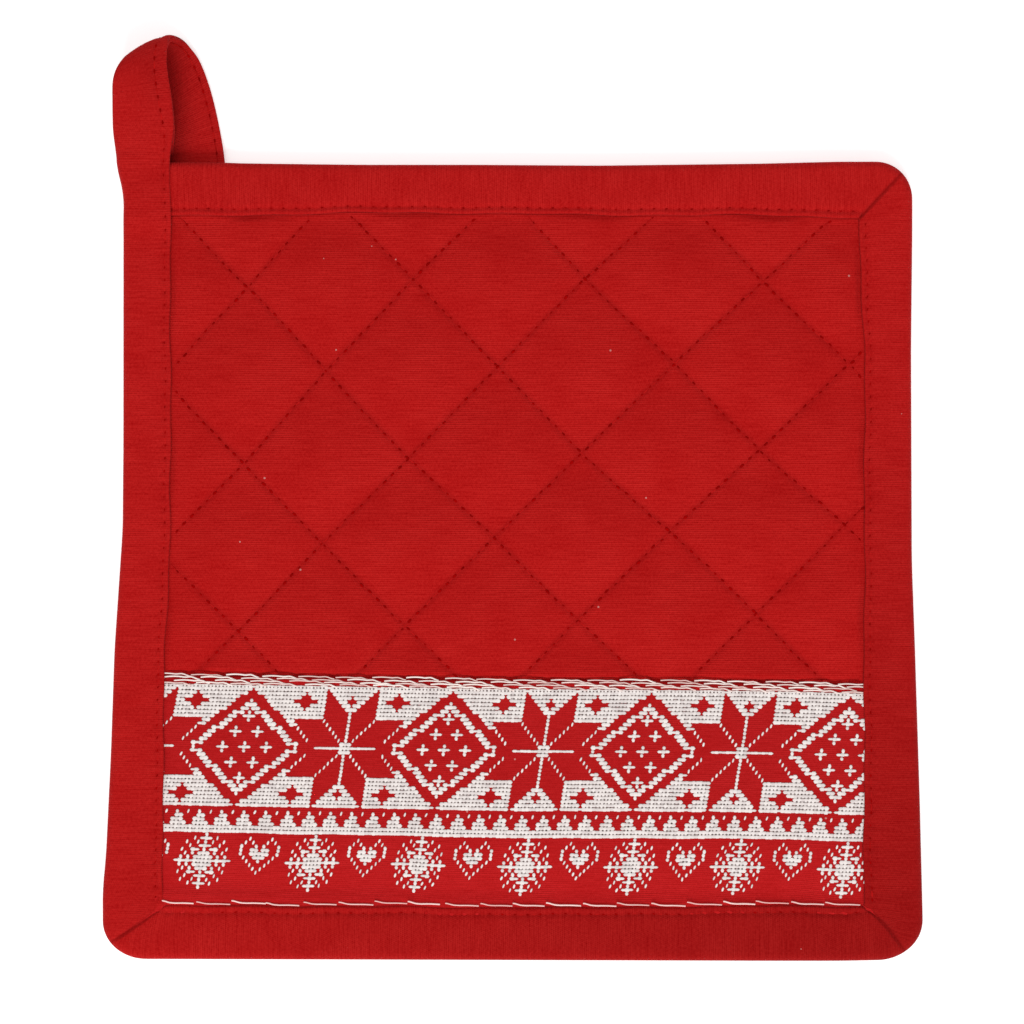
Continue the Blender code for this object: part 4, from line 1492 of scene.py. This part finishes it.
@dataclass
class BindingStrip:
    """One strip of cotton, folded round the edge and sewn through, whose free end turns back as the loop."""

    outline: Outline
    top: float = 5.1
    cloth: float = 1.0
    seam: Seam = Seam(pitch=3.2, thread=0.4, lift=0.14, hole=(1.5, 0.62), hole_lift=0.07,
                      hole_luck=(0.8, 1.15), longest=1.5)
    steps: int = 4  # rings of the mesh for each stitch
    insets: tuple[float, ...] = (0.0, 0.08, 0.3, 0.7, 1.2, 1.8, 2.6, 4.2, 6.2, 8.2, 9.6, 10.3, 10.75,
                                 11.1, 11.45, 11.8, 12.2, 12.45, 12.6)
    inner_insets: tuple[float, ...] = (12.6, 11.0, 6.0, 2.6, 1.6, 1.15, 1.0)
    stitch_inset: float = 11.1
    loop_half: float = 0.98  # half the thickness of the folded strip where it is free
    tail_half: float = 0.78  # the same where the tail lies flat
    loop_flare: float = 0.12  # how far the loop's stitches move in from its edge, as a share of its breadth
    tucked_at: float = -86.2  # the x where the loop's tail comes out from under its leg, the middle of the painted shadow on the tail
    mitre_bend: float = 0.9  # how far the mitre of the lower right corner bends towards the upper right
    mitre_slides: tuple[float, float] = (2.2, -1.8)  # how far the lower mitres' outer ends lie up the side
    squareness: float = 2.4  # of the fold's round
    rounding: float = 2.0
    crown: float = 0.16
    crown_end: float = 10.4  # the inset where it ends
    full_half: float = 1.6  # the half thickness that shows all of the relief
    least_half: float = 0.06  # of the hollow inside
    seam_dip: float = 0.34  # how deep the stitched line lies
    hole_dip: float = 0.26  # how much deeper at a needle hole
    seam_reach: float = 0.55
    lip: float = 0.30  # how far the inner edge turns down
    lip_inset: float = 12.2
    mitre_depth: float = 0.7
    hole_shade: float = 0.3  # painted shade: how much deeper the red is at a needle hole
    edge_shade: float = 0.05  # the same at the inner edge
    mitre_shade: float = 0.6  # the same on a mitre
    joined_by: float = 1.1  # the loop's row by which its strip has left the left side's place
    closed_by: float = 1.15  # the row by which its folded halves have closed
    deep_from: float = 80.0  # the y below which the red deepens
    deep_over: float = 180.0
    # How far it deepens in the middle, and more for each mm to the right.
    right_depth: tuple[float, float] = (0.82, 0.0062)
    loop_depth: float = 0.32
    # A painted shadow of the loop's front leg on its tail: its darkness at the middle, and its reach.
    tail_painted_shadow: float = 1.15
    tail_reach: float = 4.0
    seed: int = 17
    rings: list[Ring] = field(default_factory=list)
    breaks: list[int] = field(default_factory=list)  # the numbers of the rings where the weave starts anew

    def run_places(self, run: Run) -> tuple[Array, Array]:
        """Places along one side, four to a stitch, and how many stitches lie before each.

        Args:
            run: the side.

        Returns:
            The places, and the count of stitches, whole at a needle hole.
        """
        scale = (self.outline.half - self.stitch_inset) / self.outline.half
        places, phases, count = [], [], 0
        for low, high, mitred in ((run.start, 0.0, run.first_mitred), (0.0, 100.0, run.last_mitred)):
            stitches = round((high - low) * (scale if mitred else 1.0) / self.seam.pitch)
            steps = stitches * self.steps
            places.append(np.linspace(low, high, steps + 1)[:-1])
            phases.append(count + np.arange(steps) / self.steps)
            count += stitches
        places.append(np.array([100.0]))
        phases.append(np.array([float(count)]))
        places, phases = np.concatenate(places), np.concatenate(phases)
        extra = [-99.6, -99.1] * run.first_mitred + [99.1, 99.6] * run.last_mitred
        order = np.argsort(np.concatenate([places, extra]), kind="stable")
        return np.concatenate([places, extra])[order], np.concatenate([phases,
                                                                       np.full(len(extra), 0.5)])[order]

    def bent(self, x: Array, y: Array) -> tuple[Array, Array]:
        """Slides the outer ends of the two lower mitres round the edge, and bends the right one."""
        share = np.clip(self.outline.inset(x, y) / self.outline.binding_width, 0.0, 1.0)
        reach = np.maximum(np.abs(x), np.abs(y))
        past = np.where(np.abs(x) >= np.abs(y), y + reach,
                        np.abs(x) - reach)  # round the corner, upwards from it
        slide = np.where(x < 0, *self.mitre_slides) * (1.0 - share) * np.exp(-((past / 9.0) ** 2)) * (y < 0)
        slid = past + slide
        low = y < 0
        x = np.where(low, np.copysign(reach + np.minimum(slid, 0.0), x), x)
        y = np.where(low, np.maximum(slid, 0.0) - reach, y)
        near = np.exp(-((past / 7.0) ** 2)) * (x > 0) * low
        shift = self.mitre_bend / math.sqrt(2.0) * np.sin(math.pi * share) * near
        return x + shift, y + shift

    def add_side(self, run: Run) -> None:
        """Adds the rings of one side."""
        half, insets = self.outline.half, np.array(self.insets)
        places, phases = self.run_places(run)
        for along, phase in zip(places, phases):
            mitred = run.last_mitred if along > 0 else run.first_mitred
            if along == run.start and run.first_mitred:
                self.breaks.append(len(self.rings) - 1)  # the side before has just made the shared mitre
                continue
            slant = (half - insets) / half if mitred else np.ones(len(insets))
            x, y = along * slant, half - insets
            for _ in range(run.turn):
                x, y = y, -x
            x, y = self.outline.place(*self.bent(x, y))
            low = eased_table(np.array([along]), run.along, run.lift, 1.2)[0]
            high = self.top + eased_table(np.array([along]), run.along, run.rise, 1.2)[0]
            middle = np.stack([x, y, np.full(len(x), (low + high) / 2)], axis=1)
            crease = math.exp(-(((half - abs(along)) / 0.5) ** 2)) if mitred else 0.0
            fullness = 0.10 * math.sin(along / 8.7 + 2.0 * run.turn) + 0.05 * math.sin(along / 3.7 + run.turn)
            weave = along * slant + 200.0 * run.turn
            self.rings.append(Ring(
                middle=middle, normal=UP, half=(high - low) / 2, rounding=self.rounding, phase=phase,
                weave=weave, crease=crease, fullness=fullness,
            ))

    def strip_row(self, position: float) -> Array:
        """A Catmull-Rom reading of the loop's table, at a position counted in rows."""
        last = len(LOOP_ROWS) - 1
        index = min(int(position), last - 1)
        t = position - index
        before, start, end, after = (LOOP_ROWS[min(max(index + k, 0), last)] for k in (-1, 0, 1, 2))
        return 0.5 * (
            2 * start
            + (end - before) * t
            + (2 * before - 5 * start + 4 * end - after) * t**2
            + (3 * start - before - 3 * end + after) * t**3
        )

    def strip_points(self, position: float) -> Array:
        """The middle surface of the loop's strip at one position, from its fold to its stitched edge."""
        row = self.strip_row(position)
        share = np.array(self.insets)[:, None] / self.insets[-1]
        flare = self.loop_flare * smoothstep(position / 2.5) * (1.0 - smoothstep((position - 5.0) / 2.0))
        share = share - flare * np.interp(share, (0.5, 0.88, 1.0), (0.0, 1.0, 0.0))
        points = row[None, :3] + (row[None, 3:6] - row[None, :3]) * share
        points[:, 1] += row[6] * 4.0 * (share * (1.0 - share))[:, 0]
        points[:, 2] = np.maximum(points[:, 2], self.tail_half + 0.02)
        return points

    def add_loop(self) -> None:
        """Adds the rings of the loop, from the end of the left side to the end of the tail."""
        foot = self.rings[-1]
        last = len(LOOP_ROWS) - 1
        fine = np.linspace(0.0, last, 60 * last)
        stitched = self.insets.index(self.stitch_inset)
        lengths = path_lengths(np.array([self.strip_points(position)[stitched] for position in fine]))
        step = self.seam.pitch / self.steps
        for k in range(1, int(lengths[-1] / step) + 1):
            position = float(np.interp(k * step, lengths, fine))
            middle = self.strip_points(position)
            ahead = self.strip_points(min(position + 0.05, last)) - self.strip_points(max(position - 0.05,
                                                                                          0.0))
            normal = np.cross(middle[-1] - middle[0], ahead.mean(axis=0))
            normal /= np.linalg.norm(normal)
            joined = float(smoothstep(position / self.joined_by))
            closed = float(smoothstep(position / self.closed_by))
            start = foot.middle + (0.0, 1.0, 0.0) * (middle[:, 1:2] - foot.middle[:, 1:2])
            middle = start + (middle - start) * joined
            normal = UP * (1.0 - joined) + normal * joined
            normal /= np.linalg.norm(normal)
            flat = float(smoothstep((position - 5.5) / 2.0))
            free = self.loop_half + (self.tail_half - self.loop_half) * flat
            self.rings.append(Ring(
                middle=middle, normal=normal, half=foot.half + (free - foot.half) * closed,
                rounding=self.rounding - 0.6 * closed, phase=foot.phase + k / self.steps,
                weave=foot.weave + k * step,
            ))

    def rounded_off(self, insets: Array, rounding: float) -> Array:
        """The share of its full thickness that a section has at each inset, next to its rounded fold."""
        past = np.clip(1.0 - insets / rounding, 0.0, 1.0)
        return (1.0 - past**self.squareness) ** (1 / self.squareness)

    def outer_half(self, ring: Ring) -> Array:
        """Half the thickness of one ring at each inset, which dips at its stitches and its lip."""
        insets = np.array(self.insets)
        dip = self.sewn(insets) * (self.seam_dip + self.hole_dip * ring.at_hole() ** 2)
        lip = self.lip * np.clip((insets - self.lip_inset) / 0.4, 0.0, 1.0) ** 2
        arch = np.sin(math.pi * np.clip(insets / self.crown_end, 0.0, 1.0)) ** 1.2
        crease = self.mitre_depth * ring.crease * np.clip((insets - 0.2) / 2.0, 0.0, 1.0)
        size = min(1.0, ring.half / self.full_half)
        relief = ((self.crown + ring.fullness) * arch - dip - lip) * size
        return np.maximum(ring.half * self.rounded_off(insets, ring.rounding) + relief - crease, 0.0)

    def sewn(self, insets: Array) -> Array:
        """How near each inset is to the stitched line, from 0 to 1."""
        return np.exp(-(((insets - self.stitch_inset) / self.seam_reach) ** 2))

    def needle(self, ring: Ring) -> Array:
        """The painted shade, a deeper red, that a needle hole, the inner edge or a mitre puts on one ring at
        each inset.
        """
        insets = np.array(self.insets)
        hole = self.hole_shade * self.sewn(insets) ** 2 * ring.at_hole() ** 4
        edge = self.edge_shade * np.clip((insets - self.lip_inset) / 0.3, 0.0, 1.0)
        return np.maximum(np.maximum(hole, edge), self.mitre_shade * ring.crease**2)

    def section(self, ring: Ring) -> tuple[Array, Array, Array]:
        """The closed section of one ring.

        Args:
            ring: the ring.

        Returns:
            Its points, the painted shade of needle holes, inner edge and mitres at each, and the weave's
            (across, along) at each.
        """
        insets, into = np.array(self.insets), np.array(self.inner_insets)
        spine, normal = ring.middle, ring.normal
        outer = self.outer_half(ring)
        sunk = sum(crease.sink(spine[:, 0], spine[:, 1]) for crease in CREASES)
        inner = max(ring.half - self.cloth, self.least_half) * self.rounded_off(into - into[-1],
                                                                                ring.rounding)
        inner_spine = np.stack([np.interp(into, insets, spine[:, k]) for k in range(3)], axis=1)
        inner_along = np.interp(into, insets, ring.weave)

        back = (spine - normal * outer[:, None])[::-1]
        front = (spine + normal * np.maximum(outer - sunk, 0.0)[:, None])[1:]
        inner_front = inner_spine + normal * inner[:, None]
        inner_back = (inner_spine - normal * inner[:, None])[::-1][1:]
        needle = self.needle(ring)
        pull = np.concatenate([needle[::-1], needle[1:], np.zeros(2 * len(into) - 1)])
        across = np.concatenate([-insets[::-1], insets[1:], into, -into[::-1][1:]])
        along = np.concatenate([ring.weave[::-1], ring.weave[1:], inner_along, inner_along[::-1][1:]])
        return np.concatenate([back, front, inner_front, inner_back]), pull, np.stack([across, along], axis=1)

    def darkening_and_painted_shade(self, x: Array, y: Array, z: Array) -> Array:
        """How much darker the strip's red is at each place, as a share of the darkest.

        It is darker downwards and towards the right, and on the loop; darkest on the loop's tail beside the
        leg that stands over it, where it is a painted shadow of that leg.

        Args:
            x: places in mm.
            y: the same.
            z: the same.

        Returns:
            How much darker each is.
        """
        downwards = np.clip((self.deep_from - y) / self.deep_over, 0.0, 1.0) ** 1.5
        loop = self.loop_depth * smoothstep((y - 100.0) / 8.0)
        # The painted shadow that the loop's front leg casts on its tail.
        tail = self.tail_painted_shadow * (y > 99.0) * smoothstep((4.6 - z) / 1.6)
        beside = np.exp(-(((x - self.tucked_at) / self.tail_reach) ** 2))
        return downwards * (self.right_depth[0] + self.right_depth[1] * x) + loop + tail * beside

    def build(self, cotton: bpy.types.Material) -> bpy.types.Object:
        """Makes the strip and its loop as one closed sheet.

        Args:
            cotton: its finish.

        Returns:
            The piece.
        """
        for run in RUNS:
            self.add_side(run)
        self.add_loop()
        sections = [self.section(ring) for ring in self.rings]
        size, count = len(sections[0][0]), len(sections)
        points = np.concatenate([section[0] for section in sections])
        pull = np.concatenate([section[1] for section in sections])
        weave = np.stack([section[2] for section in sections])
        ring, spot = (a.ravel() for a in np.meshgrid(np.arange(count - 1), np.arange(size), indexing="ij"))
        after = (spot + 1) % size
        quads = np.stack([ring * size + spot, ring * size + after, (ring + 1) * size + after,
                          (ring + 1) * size + spot], axis=1)
        start_weave = weave.copy()
        for number in self.breaks:
            # Past a mitre the ribs run square to the next side, so the mitre's own ring is read from there.
            start_weave[number, :, 1] = 2 * start_weave[number, :, 1].max() - start_weave[number, :, 1]
        corners = np.stack([start_weave[ring, spot], start_weave[ring, after], weave[ring + 1, after],
                            weave[ring + 1, spot]], axis=1)
        caps = [list(range(size)), list(range(size * count - 1, size * (count - 1) - 1, -1))]
        cap_corners = np.concatenate([weave[0], weave[-1][::-1]])
        flipped = turn_outwards(points, quads)
        if flipped:
            quads, corners = quads[:, ::-1], corners[:, ::-1]
        else:
            caps = [cap[::-1] for cap in caps]
            cap_corners = np.concatenate([weave[0][::-1], weave[-1]])
        obj = new_object("binding_strip", points, quads.tolist() + caps)
        # The needle attribute is painted shade at needle holes, the inner edge and the mitres.
        store(obj.data, "needle", pull)
        store(obj.data, "darkening_and_painted_shade", self.darkening_and_painted_shade(*points.T))
        store_weave(obj.data, np.concatenate([corners.reshape(-1, 2), cap_corners]))
        obj.data.materials.append(cotton)
        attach(obj, BODY)
        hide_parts("edge_binding", "hanging_loop")
        return obj

    def build_stitches(self, thread: bpy.types.Material, sunk: bpy.types.Material) -> list[bpy.types.Object]:
        """Makes the stitches along the strip's inner edge, on both faces, and dark discs painted as the shade
        of the holes they sink into.

        Args:
            thread: the finish of the thread that lies on the cloth.
            sunk: the finish of the dark discs, painted shade in the needle holes.

        Returns:
            The piece of all the stitches and the piece of all the painted hole shade.
        """
        random = np.random.default_rng(self.seed)
        stitches, sinks = Threads(), Threads()
        holes = [ring for ring in self.rings if abs(ring.phase - round(ring.phase)) < 1e-6]
        number = self.insets.index(self.stitch_inset)
        size = len(self.insets)
        for side in (1.0, -1.0):
            spots, outs = [], []
            for ring in holes:
                points = self.section(ring)[0]
                spot = points[size - 1 + number] if side > 0 else points[size - 1 - number]
                spots.append(spot)
                outs.append(ring.normal * side)
            spots, outs = np.array(spots), np.array(outs)
            self.seam.sew(spots, (outs[1:] + outs[:-1]) / 2, random, stitches, sinks)
        made = [
            stitches.build("binding_stitches", ThreadForm.STITCH, thread, seed=6, height=0.8, share=0.72),
            sinks.build("binding_hole_shade_discs", ThreadForm.KNOT, sunk, seed=3, height=0.2),
        ]
        for piece in made:
            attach(piece, BODY)
        return made


# ---- The studio ----


@dataclass
class Studio:
    """A pale floor, soft light from below the picture and from above, and a camera straight overhead."""

    camera_place: tuple[float, float, float] = (-0.00075, 0.0123, 0.7197)  # metres
    lens: float = 100.0
    sensor: float = 36.0
    floor_drop: float = 0.0003
    floor_size: float = 6.0
    paper: str = "#FBFBFB"
    glow: float = 0.38  # the floor's own light, which makes its ground the photograph's plain white
    key_place: tuple[float, float, float] = (0.05, -1.4, 1.25)
    key_size: float = 0.8
    key_watts: float = 23.0
    fill_place: tuple[float, float, float] = (-0.25, 0.35, 1.3)
    fill_size: float = 1.2
    fill_watts: float = 5.8
    surroundings: float = 0.43

    def build_floor(self) -> None:
        """Lays the paper that the holder lies on."""
        half = self.floor_size / 2 / MM
        points = np.array([(-half, -half, 0), (half, -half, 0), (half, half, 0), (-half, half, 0)], float)
        points[:, 2] = -self.floor_drop / MM
        floor = new_object("paper_floor", points, [(0, 1, 2, 3)], smooth=False)
        material, _, shader = bare_material("background_paper_matt_white")
        feed(shader, {"Base Color": linear(self.paper), "Roughness": 0.95, "Specular IOR Level": 0.1,
                      "Emission Color": linear("#FFFFFF"), "Emission Strength": self.glow})
        floor.data.materials.append(material)
        floor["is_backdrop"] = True

    def add_light(self, name: str, place: tuple, size: float, power: float) -> None:
        """Adds a soft area light that faces the holder.

        Args:
            name: its name.
            place: where it stands, in metres.
            size: its side, in metres.
            power: in watts.
        """
        data = bpy.data.lights.new(name, "AREA")
        data.size = size
        data.energy = power
        light = bpy.data.objects.new(name, data)
        light.location = place
        light.rotation_euler = (-Vector(place)).to_track_quat("-Z", "Y").to_euler()
        bpy.context.scene.collection.objects.link(light)

    def add_camera(self) -> None:
        """Adds the camera, which looks straight down."""
        data = bpy.data.cameras.new("overhead_camera")
        data.lens = self.lens
        data.sensor_width = self.sensor
        data.clip_start, data.clip_end = 0.01, 10.0
        camera = bpy.data.objects.new("overhead_camera", data)
        camera.location = self.camera_place
        bpy.context.scene.collection.objects.link(camera)
        bpy.context.scene.camera = camera

    def build(self) -> None:
        """Builds the floor, the lights, the surrounding light and the camera."""
        self.build_floor()
        self.add_light("key_light", self.key_place, self.key_size, self.key_watts)
        self.add_light("fill_light", self.fill_place, self.fill_size, self.fill_watts)
        world = bpy.data.worlds.new("pale_surroundings")
        world.use_nodes = True
        feed(world.node_tree.nodes["Background"], {"Color": linear("#FFFFFF"), "Strength": self.surroundings})
        bpy.context.scene.world = world
        bpy.context.scene.view_settings.view_transform = "Standard"
        self.add_camera()


def main() -> None:
    """Builds the studio and the pieces in order."""
    logging.basicConfig(level=logging.INFO, format="%(name)s: %(message)s")
    cad_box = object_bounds()
    Studio().build()
    outline = Outline()

    panel_cotton = RibbedCotton("cotton_poplin_piece_dyed_pad", colour="#C52320", slub=0.9).material()
    strip_cotton = RibbedCotton("cotton_poplin_piece_dyed_strip", colour="#BF1F1D", patch=9.0,
                                ribs=(0.1, 0.65),
                                mottle=1.7, fleck=0.05).material()
    band_cotton = RibbedCotton("cotton_jacquard_woven_red", colour="#C72224", valley="#A80F10", rib=0.49,
                               warp=0.446, slub_along=5.0).material()
    red_thread = SpunYarn("cotton_sewing_thread_dyed", "#B41817", "#9C0F0E", gloss=0.0).material()
    # Dark discs painted as the shade inside the needle holes.
    hole_shade_paint = SpunYarn("painted_shade_in_needle_holes", "#990606", "#7A0404",
                           gloss=0.0).material()
    white_yarn = SpunYarn("cotton_weft_yarn_bleached", "#EAE1DD", "#D3C8C5").material()
    loose_yarn = SpunYarn("cotton_weft_yarn_loose", "#FFDDD6", "#EDA8A2").material()
    float_yarn = SpunYarn("cotton_weft_yarn_floating", "#F9ECE5", "#DFB2AB").material()
    # Dark discs painted as the shade in the gaps between the band's white cells.
    gap_shade = SpunYarn("painted_shade_between_white_cells", "#857672", "#3C2A28").material()

    pad = QuiltedPad(outline)
    band = WovenBand(outline)
    strip = BindingStrip(outline)
    cloth = band.build_cloth(band_cotton)
    yarns = [
        band.build_figures(white_yarn),
        band.build_gaps(gap_shade),
        band.build_floats(float_yarn),
        band.build_last_row(loose_yarn),
    ]
    binding = strip.build(strip_cotton)
    sewing = strip.build_stitches(red_thread, hole_shade_paint)
    quilted = pad.build(panel_cotton)
    made = [quilted, *pad.build_stitches(quilted, red_thread, hole_shade_paint), cloth, *yarns, binding, *sewing]
    for piece in made:
        log.info("%s: %d faces", piece.name, len(piece.data.polygons))

    boxes = [[list(corner) for corner in box] for box in (cad_box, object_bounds())]


if __name__ == "__main__":
    main()
